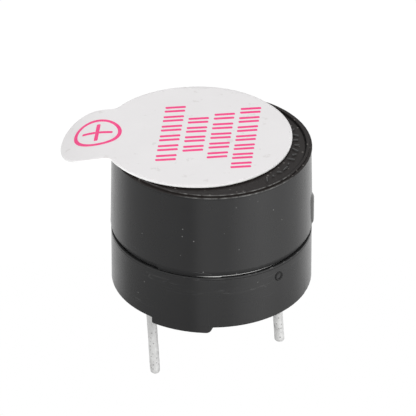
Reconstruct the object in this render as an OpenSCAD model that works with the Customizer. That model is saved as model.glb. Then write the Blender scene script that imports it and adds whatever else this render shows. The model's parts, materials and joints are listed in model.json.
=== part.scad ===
// Magnetic buzzer, self-driven, 12 mm class: a two-part moulded case with a wash seal,
// holding an electromagnet, a steel diaphragm and a small driver board set in resin.
// Origin at the middle of the pin pattern in the plane of the board it is mounted on.
// +Z points up through the sound hole, and the pins lie on the X axis, positive at -X.

/* [Case] */
// Outside diameter at the seam
case_d = 12.0; // [11.8:0.1:12.6]
// Height of the case's lip above the board
case_h = 9.5; // [9.3:0.1:11]
// How far the upper case stands out past the lower one
upper_out = 0.03; // [0:0.01:0.08]
// Loss of diameter from the seam to the top, for release from the mould
case_draft = 0.18; // [0:0.02:0.3]
// Thickness of the side wall
wall_t = 0.7; // [0.6:0.05:0.8]
// Thickness of the top wall
top_t = 0.7; // [0.5:0.1:1.1]
// Height of the seam between the lower and upper case above the board
seam_h = 3.75; // [3.65:0.05:4.6]
// Open line left between the two cases at the seam
seam_gap = 0.02; // [0.01:0.01:0.1]
// Width of the bevel on the upper case's lower edge
seam_bevel_w = 0.23; // [0.05:0.01:0.35]
// Height of that bevel
seam_bevel_h = 0.53; // [0.05:0.01:0.7]
// Height that the upper case reaches down inside the lower one
lap_h = 0.6; // [0.4:0.05:0.9]
// Thickness of the lower case's wall outside the lap
lap_t = 0.35; // [0.25:0.05:0.4]
// Break on the moulded edges
edge_break = 0.05; // [0.02:0.01:0.08]
// Diameter of the sound hole
sound_d = 2.0; // [1.2:0.1:3]
// Width of the shoulder that holds the diaphragm's ring down
shoulder_w = 0.7; // [0.5:0.05:1]
// Round at the chamber's upper corner
chamber_round = 0.4; // [0.2:0.1:0.8]

/* [Rim] */
// Height of the lip round the top face
lip_h = 0.1; // [0.06:0.01:0.2]
// Width of the lip
lip_w = 0.15; // [0.12:0.01:0.3]
// Radius of the lip's two edges
lip_round = 0.03; // [0.02:0.01:0.04]
// Depth of the groove at the lip's inner foot
groove_d = 0.06; // [0.02:0.01:0.12]
// Width of that groove
groove_w = 0.12; // [0.06:0.01:0.25]
// Width of the ledge outside the lip
rim_ledge_w = 0.18; // [0.1:0.01:0.3]
// Height of the bead under that ledge
bead_h = 0.13; // [0.08:0.01:0.3]
// How far the bead stands out of the wall
bead_out = 0.04; // [0.02:0.01:0.1]
// Radius of the bead's two edges
bead_round = 0.03; // [0.02:0.01:0.04]

/* [Feet and mould marks] */
// Height of the feet that hold the case off the board
foot_h = 0.35; // [0.35:0.05:0.45]
// Length of a foot across the case's rim
foot_w = 3.75; // [2:0.05:4.5]
// Round on the trailing end of a foot
foot_round = 0.34; // [0.1:0.02:0.34]
// Direction of the first foot from the case's centre
foot_dir = -114; // [-180:0.5:180]
// Number of feet, evenly spaced
foot_n = 2; // [2:1:4]
// Height of the gate scar on the upper case
scar_h = 1.6; // [0.7:0.05:2]
// Width of the gate scar
scar_w = 0.6; // [0.3:0.05:1]
// How far the gate scar stands out of the wall
scar_out = 0.12; // [0.04:0.02:0.2]
// Height of the gate scar's lower end above the seam
scar_rise = 0.6; // [0.6:0.05:2]
// Direction of the gate scar from the case's centre
scar_dir = -9; // [-180:1:180]
// Diameter of the moulded ring mark on the lower case
ring_mark_d = 0.58; // [0.3:0.02:0.8]
// Height of the ring mark above the board
ring_mark_z = 3.06; // [1.5:0.02:3.3]
// Direction of the ring mark from the case's centre
ring_mark_dir = -54.3; // [-180:0.1:180]
// How far the ring mark stands out of the wall
ring_mark_out = 0.04; // [0.02:0.01:0.08]
// Width of the ring mark's line
ring_mark_w = 0.1; // [0.06:0.01:0.14]

/* [Pins] */
// Distance between the two pins
pin_pitch = 7.6; // [7.2:0.1:7.8]
// Pin diameter
pin_d = 0.6; // [0.5:0.05:0.7]
// Length of the positive pin below the board plane
positive_len = 6.5; // [4:0.1:9]
// Length of the negative pin below the board plane
negative_len = 4.7; // [3:0.1:8]
// Round at a pin's end
pin_round = 0.2; // [0.05:0.05:0.22]
// Width of the coined stretch that the resin and the board grip
coin_w = 0.8; // [0.72:0.02:0.86]
// Depth inside the resin at which that stretch starts
coin_sink = 0.08; // [0.04:0.02:0.3]
// Height of the pin's top end above the circuit board
pin_stub = 0.35; // [0.25:0.05:0.4]

/* [Seal] */
// Diameter of the seal's disc
seal_d = 11.4; // [10:0.1:12]
// Thickness of the seal
seal_t = 0.1; // [0.06:0.01:0.2]
// Offset of the seal's centre along X, as it was stuck on
seal_shift_x = -0.74; // [-1:0.02:0]
// Offset of the seal's centre along Y
seal_shift_y = 0.83; // [-0.9:0.01:0.9]
// Direction in which the tab points
seal_turn = 176; // [150:1:210]
// Width of the tab
tab_w = 5.52; // [5.3:0.02:6.4]
// Offset of the tab's middle line from the disc's centre
tab_shift = -0.46; // [-0.6:0.02:0.6]
// Distance from the disc's centre to the tab's tip along the sheet
tab_len = 8.43; // [7.8:0.01:9]
// Radius of the tab's two outer corners
tab_corner = 2.56; // [1:0.02:2.6]
// Radius of the bend where the tab droops past the case
tab_bend = 4.65; // [4:0.05:9]
// How far the adhesive stays back from the seal's edge
glue_inset = 0.15; // [0.05:0.05:0.4]

/* [Board and resin] */
// Depth of the resin's surface inside the case's lower rim
resin_recess = 0.15; // [0.12:0.01:0.22]
// Depth of resin under the circuit board
resin_t = 1.2; // [1.15:0.05:1.3]
// Size of the curve where wet resin climbed the wall
meniscus = 0.12; // [0.04:0.02:0.12]
// Circuit board thickness
board_t = 0.6; // [0.5:0.05:0.8]
// Copper thickness on the board
copper_t = 0.04; // [0.03:0.01:0.06]
// Width of a copper track
track_w = 0.3; // [0.2:0.05:0.35]
// Width of the ledge that the board sits on
ledge_w = 0.5; // [0.35:0.05:0.6]
// Height of that ledge
ledge_t = 0.4; // [0.3:0.05:0.6]
// Diameter of the through-plated holes for the coil's wires
via_d = 0.3; // [0.2:0.05:0.4]
// Diameter of the round pads over those holes
lead_pad_d = 0.76; // [0.6:0.02:0.8]
// Distance between two of those holes
lead_pitch = 1.0; // [0.95:0.05:1.2]
// Distance from the board's edge to the middle of those holes
lead_inset = 1.2; // [1.1:0.05:1.3]
// Width of the copper ring round a pin's hole
pad_ring = 0.32; // [0.2:0.02:0.36]

/* [Driver parts] */
// Place of the transistor's centre along X
transistor_x = 0.9; // [0.6:0.1:1.2]
// Place of the transistor's centre along Y
transistor_y = -1.3; // [-1.6:0.1:-1.2]
// Length of the transistor's body
transistor_l = 2.9; // [2.6:0.1:3]
// Width of the transistor's body
transistor_w = 1.3; // [1.2:0.05:1.4]
// Depth of the transistor's body
transistor_h = 0.85; // [0.6:0.05:0.95]
// Distance from the transistor's middle leg to an outer one, along its body
leg_pitch = 0.95; // [0.85:0.05:1]
// Width of a transistor leg
leg_w = 0.42; // [0.3:0.02:0.5]
// Thickness of a transistor leg
leg_t = 0.12; // [0.08:0.01:0.16]
// How far a transistor leg reaches out of the body
leg_out = 0.55; // [0.45:0.05:0.6]
// Room between the board and the transistor's body
transistor_lift = 0.08; // [0.04:0.02:0.12]
// Place of the resistor's centre along X
resistor_x = -1.7; // [-2:0.1:-1.6]
// Place of the resistor's centre along Y
resistor_y = -1.3; // [-1.6:0.1:-1]
// Length of the resistor with its end caps
resistor_l = 2.0; // [1.6:0.1:2.2]
// Width of the resistor
resistor_w = 1.25; // [0.8:0.05:1.3]
// Thickness of the resistor's body
resistor_h = 0.5; // [0.35:0.05:0.6]
// Length of a resistor's end cap
cap_len = 0.35; // [0.25:0.05:0.5]
// Thickness of the metal of that cap
cap_t = 0.05; // [0.03:0.01:0.08]

/* [Electromagnet] */
// Thickness of the steel yoke plate
yoke_t = 0.5; // [0.45:0.05:0.7]
// Diameter of the steel core
core_d = 1.6; // [1.4:0.1:1.8]
// Height of the core above the yoke plate
core_h = 2.5; // [2.3:0.1:2.9]
// Diameter of the core's rivet end in the yoke plate
rivet_d = 1.1; // [0.8:0.1:1.3]
// Gap between the core and the diaphragm at rest
air_gap = 0.2; // [0.12:0.02:0.3]
// Thickness of the feedback winding round the drive winding
feedback_w = 0.4; // [0.2:0.05:0.6]
// Height of the windings
winding_h = 2.1; // [1.6:0.1:2.15]
// How far the washer under the windings stands out past them
washer_edge = 0.15; // [0.05:0.05:0.25]
// Thickness of that washer
washer_t = 0.1; // [0.06:0.02:0.14]
// Wire diameter of the coil's leads
wire_d = 0.1; // [0.06:0.02:0.12]
// Width of the ring magnet from its bore to its outside
magnet_w = 1.25; // [0.9:0.05:1.35]
// Height of the ring magnet
magnet_h = 2.25; // [1.8:0.05:2.4]

/* [Diaphragm] */
// Thickness of the diaphragm
diaphragm_t = 0.1; // [0.06:0.02:0.16]
// Diameter of the iron disc at its middle
armature_d = 3.4; // [2.6:0.1:4.2]
// Thickness of that disc
armature_t = 0.3; // [0.2:0.05:0.5]
// Width of the ring that supports the diaphragm
support_w = 0.73; // [0.5:0.01:0.8]
// Width of the rim that centres the diaphragm on that ring
support_rim_w = 0.16; // [0.1:0.02:0.24]
// Height of the rim that centres the diaphragm on that ring
support_rim_h = 0.12; // [0.06:0.02:0.2]

/* [Fits] */
// Room between the magnet and the support ring
magnet_gap = 0.1; // [0.04:0.02:0.2]
// Room between the washer and the magnet, where the coil's leads pass
lead_gap = 0.35; // [0.2:0.05:0.4]
// Room round the pins' solder pads, in the yoke plate and the board's ledge
pad_gap = 0.17; // [0.1:0.01:0.2]
// Room all round a piece that drops into the case
drop_gap = 0.12; // [0.08:0.01:0.15]
// Room between the lap's two walls, and round the rivet and the core
fit_gap = 0.02; // [0.01:0.01:0.04]
// Room above the diaphragm's rim, so that the case doesn't pinch it
clamp_gap = 0.08; // [0.04:0.02:0.12]
// Room between a pin's coined stretch and its hole in the board
pin_gap = 0.03; // [0.02:0.01:0.05]

/* [Hidden] */
$fn = 96;
eps = 0.01;
far = 40;

black_plastic = [0.16, 0.16, 0.17];
black_resin = [0.10, 0.10, 0.11];
tin = [0.78, 0.78, 0.77];
steel = [0.62, 0.63, 0.64];
copper = [0.72, 0.45, 0.26];
enamel = [0.66, 0.30, 0.14];

// Case
case_r = case_d / 2;
upper_r = case_r + upper_out;
top_r = upper_r - case_draft / 2;
bead_r = top_r + bead_out;
lip_r = bead_r - rim_ledge_w;
lip_bore_r = lip_r - lip_w;
face_r = lip_bore_r - groove_w;
bore_r = case_r - wall_t;
lap_r = case_r - lap_t;
lap_z = seam_h - lap_h;
seam_top = seam_h + seam_gap;
face_z = case_h - lip_h;
wall_top = face_z - bead_h;
chamber_top = face_z - top_t;
chamber_r = bore_r - shoulder_w;

// Board
resin_z = foot_h + resin_recess;
board_z = resin_z + resin_t;
board_top = board_z + board_t;
board_r = bore_r - drop_gap;
copper_top = board_top + copper_t;
copper_under = board_z - copper_t;
coin_t = PI * pin_d * pin_d / 4 / coin_w;
pin_hole_r = norm([coin_w, coin_t]) / 2 + pin_gap;
pin_top = board_top + pin_stub;
coin_z = resin_z + coin_sink;
pad_r = pin_hole_r + pad_ring;
pad_margin = 0.1;
solder_r = pad_r - pad_margin / 2;
solder_edge = 0.04;
pin_x = pin_pitch / 2;
lead_pad_y = board_r - lead_inset;
common_bend_x = -2.6;
common_bend_y = 2.6;
feedback_bend_y = 1.6;
drive_bend_y = 2.2;
transistor_taper = 0.06;
leg_root = 0.02;

// Electromagnet and diaphragm, from the outside in
support_bore_r = board_r - support_w;
diaphragm_r = board_r - support_rim_w - fit_gap;
magnet_r = support_bore_r - magnet_gap;
magnet_bore_r = magnet_r - magnet_w;
washer_r = magnet_bore_r - lead_gap;
feedback_r = washer_r - washer_edge;
drive_r = feedback_r - feedback_w;
yoke_top = board_top + yoke_t;
core_top = yoke_top + core_h;
winding_z = yoke_top + washer_t;
diaphragm_z = core_top + air_gap;
shoulder_z = diaphragm_z + support_rim_h + clamp_gap;
pin_notch_r = pad_r + pad_gap;
washer_lap = 0.1;
lead_rise = 0.2;
lead_drop_r = washer_r + lead_gap / 2;
lead_notch_y = washer_r - washer_lap;
lead_notch_w = 2 * (lead_pitch + pad_gap) + lead_pad_d;
lead_bead_r = 0.34;
lead_bead_sink = 0.16;

// Seal, in its own frame: +X runs from the disc's centre to the tab
seal_z = case_h;
seal_r = seal_d / 2;
bend_x = lip_r - seal_shift_x * cos(seal_turn) - seal_shift_y * sin(seal_turn);
bend_angle = (tab_len - bend_x) / tab_bend * 180 / PI;
tab_tip = bend_x + tab_bend * sin(bend_angle);

// ---- Shared shapes ----

// What a round of radius r takes off a square corner at the origin, with the body at +x +y
module corner_bite(r) {
    difference() {
        translate([-eps, -eps]) square(r + eps);
        translate([r, r]) circle(r);
    }
}

// A flat ring from z0 to z1
module tube(r_out, r_in, z0, z1) {
    translate([0, 0, z0]) linear_extrude(z1 - z0) difference() {
        circle(r_out);
        circle(r_in);
    }
}

// A round wire along a list of points
module wire(points, d) {
    for (i = [0 : len(points) - 2]) {
        run = points[i + 1] - points[i];
        translate(points[i])
            rotate([0, acos(run.z / norm(run)), atan2(run.y, run.x)])
                cylinder(h = norm(run), d = d);
        if (i > 0) translate(points[i]) sphere(d = d);
    }
}

// A copper track along a list of points, in plan
module track(points) {
    for (i = [0 : len(points) - 2]) {
        run = points[i + 1] - points[i];
        translate(points[i]) rotate(atan2(run.y, run.x))
            translate([0, -track_w / 2]) square([norm(run), track_w]);
    }
    for (p = points) translate(p) circle(d = track_w);
}

// ---- Case ----

// Half section of the upper case
module upper_section() {
    difference() {
        polygon([
            [sound_d / 2, chamber_top], [chamber_r, chamber_top],
            [chamber_r, shoulder_z], [bore_r, shoulder_z], [bore_r, lap_z],
            [lap_r - fit_gap - edge_break, lap_z], [lap_r - fit_gap, lap_z + edge_break],
            [lap_r - fit_gap, seam_top],
            [upper_r - seam_bevel_w, seam_top], [upper_r, seam_top + seam_bevel_h],
            [top_r, wall_top], [bead_r, wall_top], [bead_r, face_z],
            [lip_r, face_z], [lip_r, case_h], [lip_bore_r, case_h],
            [lip_bore_r, face_z - groove_d], [face_r, face_z], [sound_d / 2, face_z]
        ]);
        translate([bead_r, wall_top]) rotate(90) corner_bite(bead_round);
        translate([bead_r, face_z]) rotate(180) corner_bite(bead_round);
        translate([lip_r, case_h]) rotate(180) corner_bite(lip_round);
        translate([lip_bore_r, case_h]) rotate(270) corner_bite(lip_round);
    }
    difference() {
        translate([chamber_r - chamber_round, chamber_top - chamber_round])
            square(chamber_round + eps);
        translate([chamber_r - chamber_round, chamber_top - chamber_round])
            circle(chamber_round);
    }
}

// The scar that the mould's gate left on the wall: a low pad, rounded at both ends
module gate_scar() {
    scar_z = seam_h + scar_rise;
    rotate(scar_dir) intersection() {
        translate([0, 0, scar_z + scar_h / 2]) rotate([0, 90, 0]) linear_extrude(far) {
            square([scar_h - scar_w, scar_w], center = true);
            for (side = [-1, 1]) translate([side * (scar_h - scar_w) / 2, 0]) circle(d = scar_w);
        }
        tube(upper_r - case_draft / 4 + scar_out, bore_r + wall_t / 2, scar_z, scar_z + scar_h);
    }
}

module upper_case() {
    color(black_plastic) {
        rotate_extrude() upper_section();
        gate_scar();
    }
}

// Half section of the lower case, without its feet
module lower_section() {
    difference() {
        polygon([
            [bore_r, foot_h], [case_r, foot_h],
            [case_r, seam_h - edge_break], [case_r - edge_break, seam_h],
            [lap_r, seam_h], [lap_r, lap_z], [bore_r, lap_z]
        ]);
        translate([case_r, foot_h]) rotate(90) corner_bite(2 * edge_break);
    }
}

// Ledge that the board sits on, cut back round the pins' solder pads
module board_ledge() {
    difference() {
        tube(bore_r + eps, bore_r - ledge_w, board_z - ledge_t, board_z);
        for (side = [-1, 1]) translate([side * pin_x, 0, board_z - ledge_t])
            cylinder(h = ledge_t, r = pad_r + pad_gap);
    }
}

// One foot, as long as foot_w, with one square end and one rounded end
module foot() {
    intersection() {
        tube(case_r, bore_r, 0, foot_h + 3 * edge_break);
        rotate([90, 0, 90]) linear_extrude(far) difference() {
            translate([-foot_w / 2, 0]) square([foot_w, foot_h + 3 * edge_break]);
            translate([foot_w / 2, 0]) rotate(90) corner_bite(foot_round);
            translate([-foot_w / 2, 0]) corner_bite(2 * edge_break);
        }
    }
}

// The small raised ring that an ejector or a gate leaves on the wall
module ring_mark() {
    rotate(ring_mark_dir) intersection() {
        translate([0, 0, ring_mark_z]) rotate([0, 90, 0]) linear_extrude(far) difference() {
            circle(d = ring_mark_d);
            circle(d = ring_mark_d - 2 * ring_mark_w);
        }
        tube(case_r + ring_mark_out, case_r - lap_t / 2, 0, seam_h);
    }
}

module lower_case() {
    color(black_plastic) {
        rotate_extrude() lower_section();
        board_ledge();
        for (i = [0 : foot_n - 1]) rotate(foot_dir + i * 360 / foot_n) foot();
        ring_mark();
    }
}

// ---- Seal ----

// Outline of the seal in plan: a disc with a rounded tab
module seal_outline() {
    circle(seal_r);
    translate([0, tab_shift]) {
        translate([0, -tab_w / 2]) square([tab_tip - tab_corner, tab_w]);
        translate([0, -tab_w / 2 + tab_corner]) square([tab_tip, tab_w - 2 * tab_corner]);
        for (side = [-1, 1])
            translate([tab_tip - tab_corner, side * (tab_w / 2 - tab_corner)]) circle(tab_corner);
    }
}

// The sheet lies flat on the lip and bends down from where it leaves the case
module seal_sheet() {
    translate([0, 0, seal_z]) linear_extrude(seal_t) intersection() {
        seal_outline();
        translate([bend_x - far, -far / 2]) square(far);
    }
    intersection() {
        translate([0, 0, seal_z - tab_bend]) linear_extrude(tab_bend + seal_t) intersection() {
            seal_outline();
            translate([bend_x, -far / 2]) square(far);
        }
        translate([bend_x, 0, seal_z - tab_bend]) rotate([90, 0, 0])
            linear_extrude(far, center = true) difference() {
                circle(tab_bend + seal_t);
                circle(tab_bend);
            }
    }
}

module seal_label() {
    color([0.91, 0.90, 0.91])
        translate([seal_shift_x, seal_shift_y, 0]) rotate(seal_turn) seal_sheet();
}

// The adhesive fills the space between the top face and the seal, inside the lip
module seal_adhesive() {
    color([0.85, 0.84, 0.78])
        translate([0, 0, face_z]) linear_extrude(lip_h) intersection() {
            circle(face_r);
            translate([seal_shift_x, seal_shift_y]) circle(seal_r - glue_inset);
        }
}

// ---- Pins and their joints ----

// The flat stretch of a pin that the resin and the board grip
module coined_stretch() {
    translate([-coin_t / 2, -coin_w / 2, coin_z]) cube([coin_t, coin_w, pin_top - coin_z]);
}

module pin(len) {
    rotate_extrude() difference() {
        translate([0, -len]) square([pin_d / 2, len + coin_z]);
        translate([pin_d / 2, -len]) rotate(90) corner_bite(pin_round);
    }
    coined_stretch();
}

module positive_pin() {
    color(tin) translate([-pin_x, 0, 0]) pin(positive_len);
}

module negative_pin() {
    color(tin) translate([pin_x, 0, 0]) pin(negative_len);
}

// Solder that fills the board's hole and stands as a hollow-sided cone on its pad
module pin_solder() {
    rise = pin_stub - copper_t - pad_margin / 2;
    run = solder_r - pin_hole_r;
    difference() {
        rotate_extrude() {
            translate([0, copper_under]) square([pin_hole_r, copper_top - copper_under]);
            polygon([
                [0, copper_top], [solder_r, copper_top], [solder_r, copper_top + solder_edge],
                [pin_hole_r + 0.3 * run, copper_top + 0.35 * rise],
                [pin_hole_r, copper_top + rise], [0, copper_top + rise]
            ]);
        }
        coined_stretch();
    }
}

module positive_solder() {
    color(tin) translate([-pin_x, 0, 0]) pin_solder();
}

module negative_solder() {
    color(tin) translate([pin_x, 0, 0]) pin_solder();
}

// ---- Board ----

// Places of the three lead pads: feedback at the middle, common and drive beside it
lead_pads = [for (i = [-1, 0, 1]) [i * lead_pitch, lead_pad_y]];
leg_foot_y = (transistor_w + leg_out) / 2;
base_pad = [transistor_x - leg_pitch, transistor_y - leg_foot_y];
emitter_pad = [transistor_x + leg_pitch, transistor_y - leg_foot_y];
collector_pad = [transistor_x, transistor_y + leg_foot_y];
resistor_pads = [for (side = [1, -1]) [resistor_x, resistor_y + side * (resistor_l - cap_len) / 2]];

module circuit_board() {
    color([0.13, 0.36, 0.20])
        translate([0, 0, board_z]) linear_extrude(board_t) difference() {
            circle(board_r);
            for (side = [-1, 1]) translate([side * pin_x, 0]) circle(pin_hole_r);
            for (p = lead_pads) translate(p) circle(d = via_d);
        }
}

// Tracks on the underside: common to the positive pin, drive to the collector,
// feedback through the resistor to the base, and the emitter to the negative pin
module under_tracks() {
    difference() {
        intersection() {
            circle(board_r - pad_margin);
            union() {
                track([lead_pads[0], [common_bend_x, common_bend_y], [-pin_x, 0]]);
                track([lead_pads[1], [0, feedback_bend_y], resistor_pads[0]]);
                track([lead_pads[2], [transistor_x, drive_bend_y], collector_pad]);
                track([resistor_pads[1], base_pad]);
                track([emitter_pad, [pin_x, 0]]);
                for (side = [-1, 1]) translate([side * pin_x, 0]) circle(pad_r);
                for (p = resistor_pads) translate(p)
                    square([resistor_w + pad_margin, cap_len + 2 * pad_margin], center = true);
                for (p = [base_pad, emitter_pad, collector_pad]) translate(p)
                    square([leg_w + 2 * pad_margin, leg_out + 2 * pad_margin], center = true);
                for (p = lead_pads) translate(p) circle(d = lead_pad_d);
            }
        }
        for (side = [-1, 1]) translate([side * pin_x, 0]) circle(pin_hole_r);
    }
}

module board_copper() {
    color(copper) {
        translate([0, 0, copper_under]) linear_extrude(copper_t) under_tracks();
        for (side = [-1, 1]) translate([side * pin_x, 0, 0])
            tube(pad_r, pin_hole_r, board_top, copper_top);
        for (p = lead_pads) translate([p.x, p.y, 0]) {
            translate([0, 0, board_top]) cylinder(h = copper_t, d = lead_pad_d);
            translate([0, 0, copper_under]) cylinder(h = copper_top - copper_under, d = via_d);
        }
    }
}

// The transistor hangs under the board, so its depth runs down from the copper
module transistor_body() {
    color(black_resin)
        translate([transistor_x, transistor_y, copper_under - transistor_lift])
            rotate([90, 0, 90]) linear_extrude(transistor_l, center = true) {
                w = transistor_w / 2;
                h = transistor_h;
                flat = w - transistor_taper;
                polygon([[-flat, 0], [flat, 0], [w, -h / 2], [flat, -h], [-flat, -h], [-w, -h / 2]]);
            }
}

// Side view of one gull-wing leg, from the pad to the body's middle height
module leg_profile() {
    mid = transistor_lift + transistor_h / 2;
    inner = (leg_out - leg_t) / 2;
    outer = (leg_out + leg_t) / 2;
    polygon([
        [leg_out, 0], [leg_out, -leg_t], [outer, -leg_t], [outer, -mid - leg_t / 2],
        [0, -mid - leg_t / 2], [0, -mid + leg_t / 2], [inner, -mid + leg_t / 2], [inner, 0]
    ]);
}

module transistor_legs() {
    color(tin) difference() {
        translate([transistor_x, transistor_y, copper_under])
            for (leg = [[-leg_pitch, -1], [leg_pitch, -1], [0, 1]])
                translate([leg[0], leg[1] * (transistor_w / 2 - leg_root), 0])
                    rotate([90, 0, leg[1] * 90])
                        linear_extrude(leg_w, center = true) leg_profile();
        transistor_body();
    }
}

module base_resistor() {
    color([0.90, 0.88, 0.84])
        translate([resistor_x, resistor_y, copper_under - cap_t - resistor_h / 2])
            cube([resistor_w, resistor_l - 2 * cap_t, resistor_h], center = true);
}

module resistor_caps() {
    color(tin) difference() {
        for (p = resistor_pads)
            translate([p.x, p.y, copper_under - cap_t - resistor_h / 2])
                cube([resistor_w + 2 * cap_t, cap_len, resistor_h + 2 * cap_t], center = true);
        base_resistor();
    }
}

// Resin poured in from below, up to the board, round all that hangs under it
module resin_fill() {
    color(black_resin) difference() {
        rotate_extrude() {
            translate([0, resin_z]) square([bore_r, resin_t]);
            translate([bore_r - meniscus, resin_z - meniscus]) difference() {
                square([meniscus, meniscus + eps]);
                circle(meniscus);
            }
        }
        board_ledge();
        for (side = [-1, 1]) translate([side * pin_x, 0, 0]) {
            coined_stretch();
            cylinder(h = coin_z, d = pin_d);
        }
        translate([0, 0, copper_under]) linear_extrude(copper_t + eps) under_tracks();
        for (side = [-1, 1]) translate([side * pin_x, 0, copper_under])
            cylinder(h = copper_t + eps, r = pin_hole_r);
        transistor_body();
        transistor_legs();
        base_resistor();
        resistor_caps();
    }
}

// ---- Electromagnet ----

module yoke_plate() {
    color(steel) translate([0, 0, board_top]) linear_extrude(yoke_t) difference() {
        circle(board_r);
        circle(d = rivet_d);
        for (side = [-1, 1]) {
            translate([side * pin_x, 0]) circle(pin_notch_r);
            translate([side * (pin_x + far / 2), 0]) square([far, 2 * pin_notch_r], center = true);
        }
        translate([-lead_notch_w / 2, lead_notch_y]) square([lead_notch_w, far]);
    }
}

module pole_core() {
    color(steel) {
        translate([0, 0, board_top]) cylinder(h = yoke_t, d = rivet_d);
        translate([0, 0, yoke_top]) cylinder(h = core_h, d = core_d);
    }
}

module coil_washer() {
    color([0.86, 0.83, 0.72]) tube(washer_r, core_d / 2 + fit_gap, yoke_top, winding_z);
}

module drive_winding() {
    color(enamel) tube(drive_r, core_d / 2 + fit_gap, winding_z, winding_z + winding_h);
}

module feedback_winding() {
    color(enamel) tube(feedback_r, drive_r, winding_z, winding_z + winding_h);
}

// A lead leaves the winding's side, drops through the yoke's notch and ends on its pad
module coil_lead(pad) {
    low = copper_top + fit_gap + wire_d / 2;
    rotate(atan2(pad.y, pad.x)) wire([
        [feedback_r, 0, winding_z + lead_rise], [lead_drop_r, 0, winding_z + lead_rise],
        [lead_drop_r, 0, low], [norm(pad), 0, low]
    ], wire_d);
}

module common_lead() {
    color(enamel) coil_lead(lead_pads[0]);
}

module feedback_lead() {
    color(enamel) coil_lead(lead_pads[1]);
}

module drive_lead() {
    color(enamel) coil_lead(lead_pads[2]);
}

// A low dome of solder on each pad, round the end of its wire
module lead_solder() {
    color(tin) difference() {
        for (p = lead_pads) translate([p.x, p.y, copper_top]) rotate_extrude() intersection() {
            translate([0, -lead_bead_sink]) circle(lead_bead_r);
            square(lead_bead_r);
        }
        for (p = lead_pads) coil_lead(p);
    }
}

module ring_magnet() {
    color([0.24, 0.22, 0.21]) tube(magnet_r, magnet_bore_r, yoke_top, yoke_top + magnet_h);
}

// ---- Diaphragm ----

// The ring stands on the yoke plate, and its rim centres the diaphragm
module support_ring() {
    color([0.70, 0.71, 0.72]) {
        tube(board_r, support_bore_r, yoke_top, diaphragm_z);
        tube(board_r, board_r - support_rim_w, diaphragm_z, diaphragm_z + support_rim_h);
    }
}

module diaphragm() {
    color([0.74, 0.75, 0.76])
        translate([0, 0, diaphragm_z]) cylinder(h = diaphragm_t, r = diaphragm_r);
}

module armature_disc() {
    color(steel)
        translate([0, 0, diaphragm_z + diaphragm_t]) cylinder(h = armature_t, d = armature_d);
}

upper_case();
lower_case();
seal_label();
seal_adhesive();
resin_fill();
positive_pin();
negative_pin();
positive_solder();
negative_solder();
circuit_board();
board_copper();
transistor_body();
transistor_legs();
base_resistor();
resistor_caps();
yoke_plate();
pole_core();
coil_washer();
drive_winding();
feedback_winding();
common_lead();
drive_lead();
feedback_lead();
lead_solder();
ring_magnet();
support_ring();
diaphragm();
armature_disc();
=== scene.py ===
"""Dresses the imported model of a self-driven magnetic buzzer, 12 mm across.

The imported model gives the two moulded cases, the resin and the parts inside. This file gives each
of them its finish, and models what needs more form than a plain solid: the die-cut seal with its
print, the relief on the top face, the marks and the fine edges of the moulded walls, and the two
leads, which lean a little. Lengths in the classes are millimetres in the model's own frame, and MM
turns them into metres.
"""

from __future__ import annotations

import json
import logging
import math
import random
from dataclasses import dataclass, field
from enum import Enum
from typing import Callable

import bmesh
import bpy
from mathutils import Matrix, Vector


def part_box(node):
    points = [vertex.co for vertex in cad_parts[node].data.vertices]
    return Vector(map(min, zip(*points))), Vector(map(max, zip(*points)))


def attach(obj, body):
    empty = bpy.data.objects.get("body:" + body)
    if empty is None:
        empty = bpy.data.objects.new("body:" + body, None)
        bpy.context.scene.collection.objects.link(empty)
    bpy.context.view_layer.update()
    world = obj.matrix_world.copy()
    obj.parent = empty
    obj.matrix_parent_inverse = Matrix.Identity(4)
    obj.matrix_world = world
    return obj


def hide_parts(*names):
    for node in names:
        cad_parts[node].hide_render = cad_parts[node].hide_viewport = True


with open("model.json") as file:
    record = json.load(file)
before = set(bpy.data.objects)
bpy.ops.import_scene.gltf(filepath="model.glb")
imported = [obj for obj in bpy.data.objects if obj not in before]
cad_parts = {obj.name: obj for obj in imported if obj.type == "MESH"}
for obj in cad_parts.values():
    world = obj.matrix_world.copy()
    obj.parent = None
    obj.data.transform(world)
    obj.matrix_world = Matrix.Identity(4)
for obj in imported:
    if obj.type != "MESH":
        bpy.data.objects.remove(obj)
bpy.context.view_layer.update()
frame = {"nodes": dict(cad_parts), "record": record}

MM = 0.001
NEAR = 0.01  # millimetres within which a point counts as being at a place
BODY = "root"
log = logging.getLogger("buzzer")

Colour = tuple[float, float, float]
Point = tuple[float, float, float]
Pair = tuple[float, float]
Piece = bpy.types.Object
Node = bpy.types.Node
Tree = bpy.types.NodeTree
Socket = bpy.types.NodeSocket
Look = tuple[Socket, Socket, Socket]


# ---------------------------------------------------------------- named options


class Element(Enum):
    """What an edit-mode selection picks."""

    VERTEX = "VERT"
    EDGE = "EDGE"
    FACE = "FACE"


class Ray(Enum):
    """Ray kinds, by their Light Path output."""

    CAMERA = "Is Camera Ray"
    GLOSSY = "Is Glossy Ray"
    TRANSMISSION = "Is Transmission Ray"


class Polarity(Enum):
    """The two leads, by the sign of their place along X."""

    POSITIVE = -1
    NEGATIVE = 1


# ---------------------------------------------------------------- modelling helpers


def turn_z(degrees: float) -> Matrix:
    """A turn about Z."""
    return Matrix.Rotation(math.radians(degrees), 4, "Z")


def shift(x: float, y: float, z: float) -> Matrix:
    """A move, given in millimetres."""
    return Matrix.Translation(Vector((x, y, z)) * MM)


def deselect() -> None:
    """Leaves edit mode and deselects every object."""
    if bpy.context.mode != "OBJECT":
        bpy.ops.object.mode_set(mode="OBJECT")
    bpy.ops.object.select_all(action="DESELECT")


def take(piece: Piece) -> None:
    """Makes an object the only selected and active one.

    Args:
        piece: The object to work on.
    """
    deselect()
    piece.select_set(True)
    bpy.context.view_layer.objects.active = piece


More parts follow.
